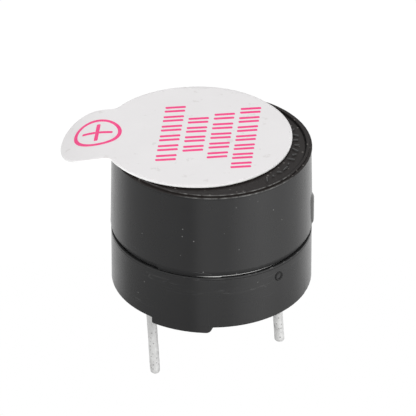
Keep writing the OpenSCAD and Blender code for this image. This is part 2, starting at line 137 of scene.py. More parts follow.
def newest(name: str) -> Piece:
    """Names the active object, and puts its place, turn and size into its mesh.

    Args:
        name: The piece's name.

    Returns:
        The object.
    """
    piece = bpy.context.active_object
    piece.name = piece.data.name = name
    bpy.ops.object.transform_apply(location=True, rotation=True, scale=True)
    return piece


def block(name: str, size: Point, height: float = 0.0) -> Piece:
    """Adds a plain box to start a piece from, or a flat rectangle where its own height is 0.

    Args:
        name: The piece's name.
        size: Its sides in millimetres.
        height: Height of its middle in millimetres.

    Returns:
        The box, centred on the Z axis.
    """
    deselect()
    add = bpy.ops.mesh.primitive_cube_add if size[2] else bpy.ops.mesh.primitive_plane_add
    add(size=1.0, location=(0.0, 0.0, height * MM))
    bpy.context.active_object.scale = (size[0] * MM, size[1] * MM, size[2] * MM or 1.0)
    return newest(name)


def edit(piece: Piece, element: Element = Element.FACE) -> None:
    """Opens an object for editing with nothing selected.

    Args:
        piece: The object to edit.
        element: The kind of element that selections pick.
    """
    take(piece)
    bpy.ops.object.mode_set(mode="EDIT")
    bpy.ops.mesh.select_mode(type=element.value)
    bpy.ops.mesh.select_all(action="DESELECT")


def pick(piece: Piece, element: Element, test: Callable[..., bool]) -> None:
    """Opens an object for editing and selects the elements that pass a test.

    Args:
        piece: The object.
        element: What is picked.
        test: Gets a vertex's place, an edge's two ends, or a face's middle and normal.
    """
    edit(piece, element)
    mesh = bmesh.from_edit_mesh(piece.data)
    if element is Element.VERTEX:
        chosen = [v for v in mesh.verts if test(v.co)]
    elif element is Element.EDGE:
        chosen = [e for e in mesh.edges if test(e.verts[0].co, e.verts[1].co)]
    else:
        chosen = [f for f in mesh.faces if test(f.calc_center_median(), f.normal)]
    for item in chosen:
        item.select_set(True)
    bmesh.update_edit_mesh(piece.data)


def round_off(
    piece: Piece, element: Element, width: float, steps: int, test: Callable[..., bool]
) -> None:
    """Bevels the edges or corners that pass a test.

    Args:
        piece: The object.
        element: Whether edges or vertices are bevelled.
        width: The bevel's width in millimetres.
        steps: How many segments it has.
        test: As for pick.
    """
    pick(piece, element, test)
    affect = "VERTICES" if element is Element.VERTEX else "EDGES"
    bpy.ops.mesh.bevel(offset=width * MM, segments=steps, affect=affect)
    deselect()


def slice_across(piece: Piece, axis: int, low: float, high: float, count: int) -> None:
    """Cuts a mesh by even planes square to one axis, so that it can bend between them.

    Args:
        piece: The object to cut.
        axis: 0 for planes square to X, 1 for Y, 2 for Z.
        low: Lower end of the row of planes in millimetres, where no plane lies.
        high: Its upper end, where none lies either.
        count: How many planes.
    """
    normal = [0.0, 0.0, 0.0]
    normal[axis] = 1.0
    edit(piece)
    for step in range(1, count + 1):
        cut = (low + (high - low) * step / (count + 1)) * MM
        bpy.ops.mesh.select_all(action="SELECT")
        bpy.ops.mesh.bisect(plane_co=[cut * n for n in normal], plane_no=normal, threshold=1e-8)
    deselect()


def reshape(piece: Piece, move: Callable[[Vector], Vector]) -> None:
    """Moves every vertex of a mesh by a rule.

    Args:
        piece: The object to reshape.
        move: Gives a vertex's new place from its old one, in metres.
    """
    for vertex in piece.data.vertices:
        vertex.co = move(vertex.co)
    piece.data.update()


def modify(piece: Piece, kind: str, **settings: object) -> None:
    """Adds a modifier and applies it.

    Args:
        piece: The object to change.
        kind: The modifier's type.
        settings: Its properties.
    """
    take(piece)
    modifier = piece.modifiers.new(kind.lower(), kind)
    for key, value in settings.items():
        setattr(modifier, key, value)
    bpy.ops.object.modifier_apply(modifier=modifier.name)


def copy_to(pattern: Piece, move: Matrix) -> Piece:
    """Copies an object with its own mesh, and moves the copy.

    Args:
        pattern: The object to copy.
        move: The copy's move.

    Returns:
        The copy.
    """
    copy = pattern.copy()
    copy.data = pattern.data.copy()
    bpy.context.scene.collection.objects.link(copy)
    copy.data.transform(move)
    return copy


def join(pieces: list[Piece], patterns: list[Piece], name: str) -> Piece:
    """Joins objects into one, and removes the patterns that they were copied from.

    Args:
        pieces: The objects.
        patterns: The patterns.
        name: Name of the joined piece.

    Returns:
        The joined object.
    """
    for pattern in patterns:
        bpy.data.objects.remove(pattern)
    take(pieces[0])
    for piece in pieces[1:]:
        piece.select_set(True)
    bpy.ops.object.join()
    return newest(name)


def settle(piece: Piece, crisp: float) -> Piece:
    """Points a mesh's faces outwards and smooths its shading.

    Args:
        piece: The modelled object.
        crisp: Edges sharper than this many degrees stay crisp.

    Returns:
        The same object.
    """
    edit(piece)
    bpy.ops.mesh.select_all(action="SELECT")
    bpy.ops.mesh.normals_make_consistent(inside=False)
    bpy.ops.object.mode_set(mode="OBJECT")
    bpy.ops.object.shade_smooth_by_angle(angle=math.radians(crisp))
    return piece


# ---------------------------------------------------------------- node trees


class Graph:
    """A node tree being built, with short calls for adding and linking nodes."""

    def __init__(self, tree: Tree) -> None:
        """Starts on an emptied tree."""
        self.tree = tree
        tree.nodes.clear()

    def add(self, kind: str, inputs: dict | None = None, **settings: object) -> Node:
        """Adds a node.

        Args:
            kind: Its type, without the ShaderNode prefix, or in full for a group's ends.
            inputs: Values or sockets for its inputs, by name or index.
            settings: Its properties.

        Returns:
            The new node.
        """
        node = self.tree.nodes.new(kind if kind.startswith("NodeGroup") else "ShaderNode" + kind)
        for key, value in settings.items():
            setattr(node, key, value)
        for key, value in (inputs or {}).items():
            if isinstance(value, Socket):
                self.tree.links.new(value, node.inputs[key])
            else:
                node.inputs[key].default_value = value
        return node

    def math(self, operation: str, *values: object, clamp: bool = False) -> Socket:
        """Adds a Math node.

        Args:
            operation: Its operation.
            values: Its inputs in order, as numbers or sockets.
            clamp: Keeps the result between 0 and 1.

        Returns:
            Its output.
        """
        node = self.add("Math", dict(enumerate(values)), operation=operation, use_clamp=clamp)
        return node.outputs[0]

    def total(self, start: Socket | float, *weighted: tuple[Socket, float]) -> Socket:
        """Adds weighted values to a first one.

        Args:
            start: The first value.
            weighted: The others, each with its weight.

        Returns:
            The sum.
        """
        for value, weight in weighted:
            start = self.math("MULTIPLY_ADD", value, weight, start)
        return start

    def ramp(
        self,
        value: Socket,
        low: Socket | float,
        high: Socket | float,
        soft: bool = True,
        least: float = 0.0,
    ) -> Socket:
        """Turns a value into a mask between two levels.

        Args:
            value: The value to read.
            low: Level at which the mask is at its least.
            high: Level at which the mask is 1.
            soft: Whether the mask eases in and out.
            least: The least that the mask gets to.

        Returns:
            The mask.
        """
        inputs = {"Value": value, "From Min": low, "From Max": high, "To Min": least}
        easing = "SMOOTHSTEP" if soft else "LINEAR"
        return self.add("MapRange", inputs, interpolation_type=easing).outputs["Result"]

    def noise(self, place: Socket, **inputs: Socket | float) -> Socket:
        """Soft noise, at scale 1 unless told otherwise."""
        return self.add("TexNoise", {"Vector": place, "Scale": 1.0, **inputs}).outputs["Fac"]

    def blend(self, mask: Socket, low: Socket | Colour, high: Socket | Colour) -> Socket:
        """Mixes two colours, or colour sockets, by a mask.

        Args:
            mask: 0 for the first colour and 1 for the second.
            low: First colour.
            high: Second colour.

        Returns:
            The mixed colour.
        """
        ends = {6: low, 7: high}
        ends = {at: end if isinstance(end, Socket) else (*end, 1.0) for at, end in ends.items()}
        return self.add("Mix", {0: mask, **ends}, data_type="RGBA").outputs[2]

    def paint(self, colour: Socket, *layers: tuple[Socket, Socket | float, Colour]) -> Socket:
        """Lays thin layers over a colour.

        Args:
            colour: The colour underneath.
            layers: Each one's mask, how much it shows, and its colour.

        Returns:
            The covered colour.
        """
        for mask, show, tone in layers:
            colour = self.blend(self.math("MULTIPLY", mask, show), colour, tone)
        return colour

    def split(self, vector: Socket) -> list[Socket]:
        """The three parts of a vector."""
        return list(self.add("SeparateXYZ", {0: vector}).outputs)

    def flat(self, vector: Socket) -> Socket:
        """A vector without its height."""
        return self.add("CombineXYZ", dict(enumerate(self.split(vector)[:2]))).outputs[0]

    def length(self, vector: Socket) -> Socket:
        """How long a vector is."""
        return self.add("VectorMath", {0: vector}, operation="LENGTH").outputs["Value"]

    def angle(self, place: Socket) -> Socket:
        """The angle of a place about Z, from the front, in radians."""
        x, y, _ = self.split(place)
        return self.math("ARCTAN2", x, self.math("MULTIPLY", y, -1.0))

    def any_ray(self, *kinds: Ray) -> Socket:
        """A mask that is 1 for rays of the given kinds.

        Args:
            kinds: The ray kinds.

        Returns:
            The mask.
        """
        path = self.add("LightPath").outputs
        mask = path[kinds[0].value]
        for kind in kinds[1:]:
            mask = self.math("MAXIMUM", mask, path[kind.value])
        return mask

    def millimetres(self, stretch: Point = (1.0, 1.0, 1.0)) -> Socket:
        """The piece's own coordinates, counted in millimetres.

        Args:
            stretch: Factor on each axis; below 1 draws a pattern out along it.

        Returns:
            The coordinates.
        """
        place = self.add("TexCoord").outputs["Object"]
        scale = tuple(factor / MM for factor in stretch)
        return self.add("Mapping", {"Vector": place, "Scale": scale}).outputs["Vector"]

    def effect(self, tree: Tree, place: Socket, **values: float) -> Socket:
        """Places a shared effect.

        Args:
            tree: The effect's group.
            place: Its coordinates in millimetres.
            values: Its number inputs by name.

        Returns:
            Its mask or height.
        """
        return self.add("Group", {"Vector": place, **values}, node_tree=tree).outputs[0]


class SharedEffects:
    """Surface effects that several finishes use, each one node group built once.

    Sizes are in millimetres, and shares and contrasts are factors.
    """

    def __init__(self) -> None:
        """Builds the five groups."""
        self.grain = self._grain()
        self.specks = self._specks()
        self.streaks = self._streaks()
        self.patches = self._patches()
        self.rim_wear = self._rim_wear()

    @staticmethod
    def _group(name: str, output: str, **inputs: float) -> tuple[Graph, bpy.types.NodeOutputs]:
        """Starts a group that reads coordinates and numbers and gives one value.

        Args:
            name: The group's name.
            output: Name of its one output.
            inputs: Its number inputs with their default values.

        Returns:
            Its graph, and what it is given, by name.
        """
        tree = bpy.data.node_groups.new(name, "ShaderNodeTree")
        tree.interface.new_socket("Vector", in_out="INPUT", socket_type="NodeSocketVector")
        for key, value in inputs.items():
            socket = tree.interface.new_socket(key, in_out="INPUT", socket_type="NodeSocketFloat")
            socket.default_value = value
        tree.interface.new_socket(output, in_out="OUTPUT", socket_type="NodeSocketFloat")
        graph = Graph(tree)
        return graph, graph.add("NodeGroupInput").outputs

    @staticmethod
    def _scaled(graph: Graph, given: bpy.types.NodeOutputs) -> Socket:
        """The group's coordinates divided by its size, which is its first number."""
        inputs = {0: given["Vector"], "Scale": graph.math("DIVIDE", 1.0, given[1])}
        return graph.add("VectorMath", inputs, operation="SCALE").outputs[0]

    @staticmethod
    def _close(graph: Graph, value: Socket) -> Tree:
        """Ends a group with the value that it gives."""
        graph.add("NodeGroupOutput", {0: value})
        return graph.tree

    def _grain(self) -> Tree:
        """Builds fine, even relief, as etched into a mould.

        Returns:
            The group.
        """
        graph, given = self._group("fine_grain", "Height", Size=0.1, Detail=3.0)
        place = self._scaled(graph, given)
        return self._close(graph, graph.noise(place, Detail=given["Detail"], Roughness=0.55))

    def _specks(self) -> Tree:
        """Builds scattered dots such as dust, whose radius is counted in spacings.

        Returns:
            The group.
        """
        graph, given = self._group("specks", "Mask", Spacing=1.0, Radius=0.12, Share=0.5)
        inputs = {"Vector": self._scaled(graph, given), "Scale": 1.0}
        cells = graph.add("TexVoronoi", inputs).outputs
        chance = graph.add("SeparateColor", {0: cells["Color"]}).outputs[0]
        chosen = graph.math("LESS_THAN", chance, given["Share"])
        core = graph.math("MULTIPLY", given["Radius"], 0.4)
        dot = graph.ramp(cells["Distance"], given["Radius"], core)
        return self._close(graph, graph.math("MULTIPLY", dot, chosen))

    def _streaks(self) -> Tree:
        """Builds thin broken lines along the stretched axis of the coordinates, such as scuffs.

        Returns:
            The group.
        """
        graph, given = self._group("streaks", "Mask", Size=0.3, Width=0.02, Share=0.4)
        place = self._scaled(graph, given)
        away = graph.math("SUBTRACT", graph.noise(place, Detail=2.0), 0.5)
        line = graph.ramp(graph.math("ABSOLUTE", away), given["Width"], 0.0)
        # A line shows where a coarser noise passes a level, which falls as Share rises.
        level = graph.total(0.75, (given["Share"], -0.5))
        where = graph.noise(place, Scale=0.35, Detail=1.0)
        here = graph.ramp(where, level, graph.math("ADD", level, 0.08), soft=False)
        return self._close(graph, graph.math("MULTIPLY", line, here, clamp=True))

    def _patches(self) -> Tree:
        """Builds large soft patches, such as handling marks or uneven gloss.

        Returns:
            The group.
        """
        graph, given = self._group("patches", "Mask", Size=3.0, Contrast=1.0)
        noise = graph.noise(self._scaled(graph, given), Detail=4.0, Roughness=0.6)
        centred = graph.math("MULTIPLY", graph.math("SUBTRACT", noise, 0.5), given["Contrast"])
        return self._close(graph, graph.math("ADD", centred, 0.5, clamp=True))

    def _rim_wear(self) -> Tree:
        """Builds a pale line along a round edge about Z, as much of it as Share says. It is a
        painted highlight on the edge, with some rubbed wear.

        Middle and Reach say which part of the edge has it, in degrees from the front.

        Returns:
            The group.
        """
        sizes = {"Radius": 6.0, "Height": 0.0, "Width": 0.05}
        where = {"Share": 0.6, "Middle": 0.0, "Reach": 400.0}
        graph, given = self._group("rim_wear", "Mask", **sizes, **where)
        place = given["Vector"]
        flat = graph.flat(place)
        out = graph.math("SUBTRACT", graph.length(flat), given["Radius"])
        above = graph.math("SUBTRACT", graph.split(place)[2], given["Height"])
        squares = graph.math("ADD", graph.math("POWER", out, 2.0), graph.math("POWER", above, 2.0))
        core = graph.math("MULTIPLY", given["Width"], 0.4)
        line = graph.ramp(graph.math("SQRT", squares), given["Width"], core)
        # The line breaks where a noise stays under a level, which falls as Share rises.
        level = graph.total(0.7, (given["Share"], -0.4))
        broken = graph.noise(flat, Scale=3.2, Detail=3.0)
        here = graph.ramp(broken, level, graph.math("ADD", level, 0.3), soft=False)
        turned = graph.math("SUBTRACT", graph.math("DEGREES", graph.angle(place)), given["Middle"])
        inside = graph.math("MULTIPLY", given["Reach"], 0.6)
        part = graph.ramp(graph.math("ABSOLUTE", turned), given["Reach"], inside)
        # The pale line: a painted highlight along the edge, with some rubbed wear.
        rubbed = graph.math("MULTIPLY", graph.math("MULTIPLY", line, here), part, clamp=True)
        return self._close(graph, rubbed)


# ---------------------------------------------------------------- finishes


@dataclass(frozen=True)
class Finish:
    """What every finish has: a name, a colour, a roughness and a relief in millimetres.

    Its patches darken the colour down to the mottle factor, and spread the roughness.
    """

    name: str
    colour: Colour
    roughness: float
    relief: float
    metallic: float = field(default=0.0, kw_only=True)
    specular: float = field(default=0.5, kw_only=True)
    mottle: float = field(default=0.8, kw_only=True)
    spread: float = field(default=0.1, kw_only=True)

    def mottled(self, graph: Graph, patches: Socket) -> Socket:
        """The finish's colour, darker where the patches are low."""
        dark = tuple(self.mottle * part for part in self.colour)
        return graph.blend(patches, dark, self.colour)

    def uneven(self, graph: Graph, patches: Socket, *more: tuple[Socket, float]) -> Socket:
        """Works out the finish's roughness, which varies with its patches.

        Args:
            graph: The material's graph.
            patches: The patches.
            more: Other masks, each with how much rougher it makes the surface.

        Returns:
            The roughness.
        """
        return graph.total(self.roughness - self.spread / 2, (patches, self.spread), *more)

    def look(self, graph: Graph, shared: SharedEffects) -> Look:
        """Works out the surface; each kind of finish has its own way.

        Args:
            graph: The material's graph.
            shared: The shared effects.

        Returns:
            The surface's colour, roughness and relief.
        """
        raise NotImplementedError

    def build(self, shared: SharedEffects) -> bpy.types.Material:
        """Builds the material.

        Args:
            shared: The shared effects.

        Returns:
            The material.
        """
        material = bpy.data.materials.new(self.name)
        material.use_nodes = True
        graph = Graph(material.node_tree)
        colour, roughness, height = self.look(graph, shared)
        inputs = {"Height": height, "Distance": self.relief * MM, "Strength": 1.0}
        normal = graph.add("Bump", inputs).outputs["Normal"]
        inputs = {"Base Color": colour, "Roughness": roughness, "Normal": normal}
        inputs |= {"Metallic": self.metallic, "Specular IOR Level": self.specular}
        shader = graph.add("BsdfPrincipled", inputs)
        graph.add("OutputMaterial", {"Surface": shader.outputs["BSDF"]})
        return material


@dataclass(frozen=True)
class EdgeWearAndHighlight:
    """A round edge about Z painted pale as its highlight, with some rubbed wear, in millimetres and
    degrees.
    """

    radius: float
    height: float
    width: float
    share: float
    middle: float
    reach: float

    def inputs(self) -> dict[str, float]:
        """The values for the shared effect, by its inputs' names."""
        return {key.capitalize(): value for key, value in vars(self).items()}


@dataclass(frozen=True)
class MouldedPlastic(Finish):
    """Black moulded plastic: satin walls, a duller top face, faint scuffs and dust, pale specks on
    the top face that are grit and painted glints, and pale lines on round edges that are painted
    highlights with some rubbed wear.

    The top face's look sets in at top_z, over top_blend. Scuffs are drawn out by scuff_stretch.
    Level scratches set in downwards between the two heights of scratch_z. A show field is how
    much its marks show.
    """

    dust_share: float = 0.75
    top_z: float = 9.36
    top_blend: float = 0.03
    top_roughness: float = 0.5
    top_colour: Colour = (0.0135, 0.0105, 0.0098)
    # Edges painted pale as their highlights, with some rubbed wear, and the colour of that paint.
    rubbed: tuple[EdgeWearAndHighlight, ...] = ()
    rubbed_colour: Colour = (0.16, 0.16, 0.155)
    scuff_stretch: Point = (1.0, 1.0, 0.06)
    scuff_show: float = 0.12
    scuff_colour: Colour = (0.12, 0.12, 0.12)
    scratch_stretch: Point = (0.07, 0.07, 1.0)
    scratch_z: Pair = (5.3, 4.3)
    scratch_show: float = 0.3
    dust_colour: Colour = (0.24, 0.24, 0.235)
    dust_show: float = 0.7
    # Colour of the pale specks on the top face: grit, and painted glints.
    grit_colour: Colour = (0.15, 0.14, 0.13)
    mottle: float = field(default=0.82, kw_only=True)

    def look(self, graph: Graph, shared: SharedEffects) -> Look:
        """Works out the surface.

        Args:
            graph: The material's graph.
            shared: The shared effects.

        Returns:
            The surface's colour, roughness and relief.
        """
        place = graph.millimetres()
        height = graph.split(place)[2]
        on_top = graph.ramp(height, self.top_z, self.top_z + self.top_blend)
        drawn_out = graph.millimetres(self.scuff_stretch)
        scuffs = graph.effect(shared.streaks, drawn_out, Size=0.35, Width=0.012, Share=0.35)
        level = graph.millimetres(self.scratch_stretch)
        scratches = graph.effect(shared.streaks, level, Size=0.2, Width=0.02, Share=0.35)
        scratches = graph.math("MULTIPLY", scratches, graph.ramp(height, *self.scratch_z))
        dust = graph.effect(
            shared.specks, place, Spacing=0.68, Radius=0.07, Share=self.dust_share
        )
        # Pale specks on the top face: grit, and painted glints of the relief.
        grit_and_glints = graph.effect(shared.specks, place, Spacing=0.36, Radius=0.22, Share=0.8)
        patches = graph.effect(shared.patches, place, Size=2.6, Contrast=1.6)
        colour = graph.paint(
            self.mottled(graph, patches),
            (scuffs, self.scuff_show, self.scuff_colour),
            (scratches, self.scratch_show, self.scuff_colour),
            (dust, self.dust_show, self.dust_colour),
            (on_top, 1.0, self.top_colour),
            (grit_and_glints, on_top, self.grit_colour),
        )
        # Pale lines along round edges: painted highlights, with some rubbed wear.
        for edge in self.rubbed:
            mask = graph.effect(shared.rim_wear, place, **edge.inputs())
            colour = graph.blend(mask, colour, self.rubbed_colour)
        wall = self.uneven(graph, patches, (scuffs, 0.25), (dust, 0.3))
        duller = graph.math("SUBTRACT", self.top_roughness, wall)
        roughness = graph.math("MULTIPLY_ADD", duller, on_top, wall)
        relief = graph.total(
            graph.effect(shared.grain, place, Size=0.055, Detail=2.0),
            (graph.effect(shared.grain, place, Size=0.28, Detail=3.0), 1.6),
            (graph.effect(shared.grain, place, Size=0.9, Detail=2.0), 3.0),
            (scuffs, -0.6),
        )
        return colour, roughness, relief


@dataclass(frozen=True)
class PrintedSheet(Finish):
    """Coated off-white sheet: fine fibre, a few grey smudges and specks, and a cut edge painted
    whiter as its highlight.
    """

    smudge: Colour = (0.55, 0.52, 0.50)
    # Painted highlight on faces that don't face up, such as the cut edge.
    cut_edge: Colour = (0.97, 0.97, 0.965)
    mottle: float = field(default=0.965, kw_only=True)

    def look(self, graph: Graph, shared: SharedEffects) -> Look:
        """Works out the surface.

        Args:
            graph: The material's graph.
            shared: The shared effects.

        Returns:
            The surface's colour, roughness and relief.
        """
        place = graph.millimetres()
        tone = graph.effect(shared.patches, place, Size=1.8, Contrast=1.4)
        grime = graph.effect(shared.patches, place, Size=0.75, Contrast=2.6)
        specks = graph.effect(shared.specks, place, Spacing=1.3, Radius=0.06, Share=0.3)
        colour = graph.paint(
            self.mottled(graph, tone),
            (graph.ramp(grime, 0.8, 1.0), 0.28, self.smudge),
            (specks, 0.35, self.smudge),
        )
        # Faces that don't face up, such as the cut edge, are painted whiter: painted light.
        upward = graph.math("ABSOLUTE", graph.split(graph.add("TexCoord").outputs["Normal"])[2])
        colour = graph.blend(graph.ramp(upward, 0.45, 0.9), self.cut_edge, colour)
        fibre = graph.effect(shared.grain, place, Size=0.12, Detail=3.0)
        return colour, self.uneven(graph, tone), fibre


@dataclass(frozen=True)
class Ink(Finish):
    """Screen-printed ink: even colour, thinner and so paler in places, by the thinned share."""

    thinned: float = 0.10

    def look(self, graph: Graph, shared: SharedEffects) -> Look:
        """Works out the surface.

        Args:
            graph: The material's graph.
            shared: The shared effects.

        Returns:
            The surface's colour, roughness and relief.
        """
        place = graph.millimetres()
        thin = graph.effect(shared.patches, place, Size=0.5, Contrast=1.5)
        film = graph.effect(shared.grain, place, Size=0.08, Detail=2.0)
        faded = tuple(part + (1.0 - part) * self.thinned for part in self.colour)
        colour = graph.blend(thin, self.colour, faded)
        return colour, self.uneven(graph, thin), film


@dataclass(frozen=True)
class Metal(Finish):
    """Plain or plated metal: drawn or rolled lines, dull spots and small pits.

    Fields are the stretch of the coordinates that draws the lines out, the tarnish in the pits,
    the share of pits that there are, and their radius, counted in spacings.
    """

    stretch: Point = (1.0, 1.0, 0.08)
    tarnish: Colour = (0.30, 0.30, 0.29)
    pit_share: float = 0.3
    pit_size: float = 0.17
    metallic: float = field(default=1.0, kw_only=True)
    spread: float = field(default=0.16, kw_only=True)

    def look(self, graph: Graph, shared: SharedEffects) -> Look:
        """Works out the surface.

        Args:
            graph: The material's graph.
            shared: The shared effects.

        Returns:
            The surface's colour, roughness and relief.
        """
        place = graph.millimetres()
        spots = graph.effect(shared.patches, place, Size=0.4, Contrast=2.2)
        pits = graph.effect(
            shared.specks, place, Spacing=0.22, Radius=self.pit_size, Share=self.pit_share
        )
        colour = graph.paint(self.mottled(graph, spots), (pits, 0.6, self.tarnish))
        lines = graph.effect(
            shared.grain, graph.millimetres(self.stretch), Size=0.05, Detail=3.0
        )
        return colour, self.uneven(graph, spots, (pits, 0.2)), graph.total(lines, (spots, 0.8))


@dataclass(frozen=True)
class Compound(Finish):
    """A set, sintered, coated or wound material: an even body with its own grain and patches.

    Fields are the grain's size and the patches' size.
    """

    grain_size: float = 0.06
    patch_size: float = 1.2
    spread: float = field(default=0.16, kw_only=True)

    def look(self, graph: Graph, shared: SharedEffects) -> Look:
        """Works out the surface.

        Args:
            graph: The material's graph.
            shared: The shared effects.

        Returns:
            The surface's colour, roughness and relief.
        """
        place = graph.millimetres()
        grain = graph.effect(shared.grain, place, Size=self.grain_size)
        patches = graph.effect(shared.patches, place, Size=self.patch_size, Contrast=1.8)
        mixed = graph.total(0.0, (grain, 0.4), (patches, 0.6))
        return self.mottled(graph, mixed), self.uneven(graph, patches), grain


@dataclass(frozen=True)
class WoundWire(Finish):
    """Enamelled wire in a winding: fine ridges one above another, with a warm sheen and painted
    shade in the grooves between them.
    """

    pitch: float = 0.1
    metallic: float = field(default=0.7, kw_only=True)
    mottle: float = field(default=0.45, kw_only=True)

    def look(self, graph: Graph, shared: SharedEffects) -> Look:
        """Works out the surface.

        Args:
            graph: The material's graph.
            shared: The shared effects.

        Returns:
            The surface's colour, roughness and relief.
        """
        place = graph.millimetres()
        turns = graph.math("MULTIPLY", graph.split(place)[2], math.tau / self.pitch)
        ridge = graph.total(0.5, (graph.math("SINE", turns), 0.5))
        tone = graph.effect(shared.patches, place, Size=0.6, Contrast=1.5)
        # Painted shade: the colour darkens in the grooves between the turns.
        mixed = graph.total(0.0, (tone, 0.4), (ridge, 0.6))
        return self.mottled(graph, mixed), self.uneven(graph, tone), ridge


def finishes() -> dict[str, Finish]:
    """Every finish of the buzzer, by the record's material slot.

    Returns:
        The finishes. The ink and the four finishes after the case's have no slot of their own.
    """
    black = (0.019, 0.019, 0.0195)
    # Pale lines on the rim's lip and bead: painted highlights, with some rubbed wear.
    rim_worn_highlit_edges = (
        EdgeWearAndHighlight(5.79, 9.5, 0.06, 0.9, 8.0, 46.0),
        EdgeWearAndHighlight(5.97, 9.39, 0.06, 0.85, 12.0, 40.0),
    )
    # Pale lines on the seam's edges: painted highlights, with some rubbed wear.
    seam_worn_highlit_edges = (
        EdgeWearAndHighlight(5.98, 3.985, 0.055, 1.6, 20.0, 36.0),
        EdgeWearAndHighlight(5.97, 3.92, 0.03, 0.35, -2.0, 12.0),
        EdgeWearAndHighlight(5.99, 3.85, 0.02, 0.35, 44.0, 34.0),
    )
    return {
        "case": MouldedPlastic("black_case_plastic", black, 0.26, 0.0012, rubbed=rim_worn_highlit_edges),
        # The seam finish's pale edge colour paints the edges' highlights, with some rubbed wear.
        "seam": MouldedPlastic(
            "rubbed_seam_plastic", black, 0.26, 0.0012, rubbed=seam_worn_highlit_edges,
            rubbed_colour=(0.62, 0.62, 0.61), scuff_stretch=(0.08, 0.3, 1.0), scuff_show=0.5,
        ),
        # The gate scar's pale colour is a painted highlight of its rounded sides.
        "torn": MouldedPlastic("whitened_gate_plastic", (0.13, 0.13, 0.128), 0.24, 0.004, 0.0),
        "dull": Compound("dull_mark_plastic", (0.006, 0.006, 0.006), 0.7, 0.003),
        # The raised marks are painted paler than the case: painted highlights.
        "raised": MouldedPlastic("raised_mark_plastic", (0.07, 0.07, 0.07), 0.22, 0.004, 0.0, 20.0),
        "seal": PrintedSheet("off_white_sheet", (0.83, 0.815, 0.82), 0.6, 0.002, specular=0.3),
        "ink": Ink("pink_ink", (0.92, 0.035, 0.235), 0.55, 0.001, specular=0.3),
        "adhesive": Compound("soft_adhesive", (0.55, 0.54, 0.48), 0.55, 0.004),
        "resin": Compound("poured_resin", (0.016, 0.016, 0.017), 0.18, 0.006, 0.5, 1.5),
        "tin": Metal(
            "dull_tin_plate", (0.97, 0.97, 0.96), 0.4, 0.012, tarnish=(0.16, 0.16, 0.16),
            pit_share=0.95, pit_size=0.3, metallic=0.4,
        ),
        "solder": Metal("bright_solder", (0.74, 0.74, 0.74), 0.25, 0.004, (1.0, 1.0, 1.0)),
        "board": Compound(
            "coated_laminate", (0.03, 0.16, 0.06), 0.4, 0.004, 0.12, 1.5, mottle=0.7
        ),
        "copper": Metal("copper_foil", (0.72, 0.38, 0.22), 0.35, 0.003, (1.0, 0.1, 1.0)),
        "chip": Compound("transistor_mould", (0.022, 0.022, 0.023), 0.5, 0.003),
        "resistor": Compound("white_alumina", (0.75, 0.73, 0.68), 0.45, 0.003, 0.03),
        "steel": Metal("plated_soft_iron", (0.56, 0.57, 0.58), 0.35, 0.004, (0.1, 1.0, 1.0)),
        "washer": Compound(
            "insulating_card", (0.72, 0.66, 0.48), 0.7, 0.004, 0.08, 0.8, mottle=0.85
        ),
        "enamel": WoundWire("enamelled_wire", (0.62, 0.20, 0.06), 0.37, 0.02),
        "magnet": Compound("sintered_ferrite", (0.06, 0.055, 0.052), 0.62, 0.006, 0.09),
        "support": Metal("turned_light_alloy", (0.70, 0.71, 0.72), 0.3, 0.003, (1.0, 1.0, 0.05)),
        "diaphragm": Metal(
            "rolled_spring_steel", (0.60, 0.61, 0.62), 0.28, 0.002, (0.05, 1.0, 1.0)
        ),
    }


# ---------------------------------------------------------------- the seal


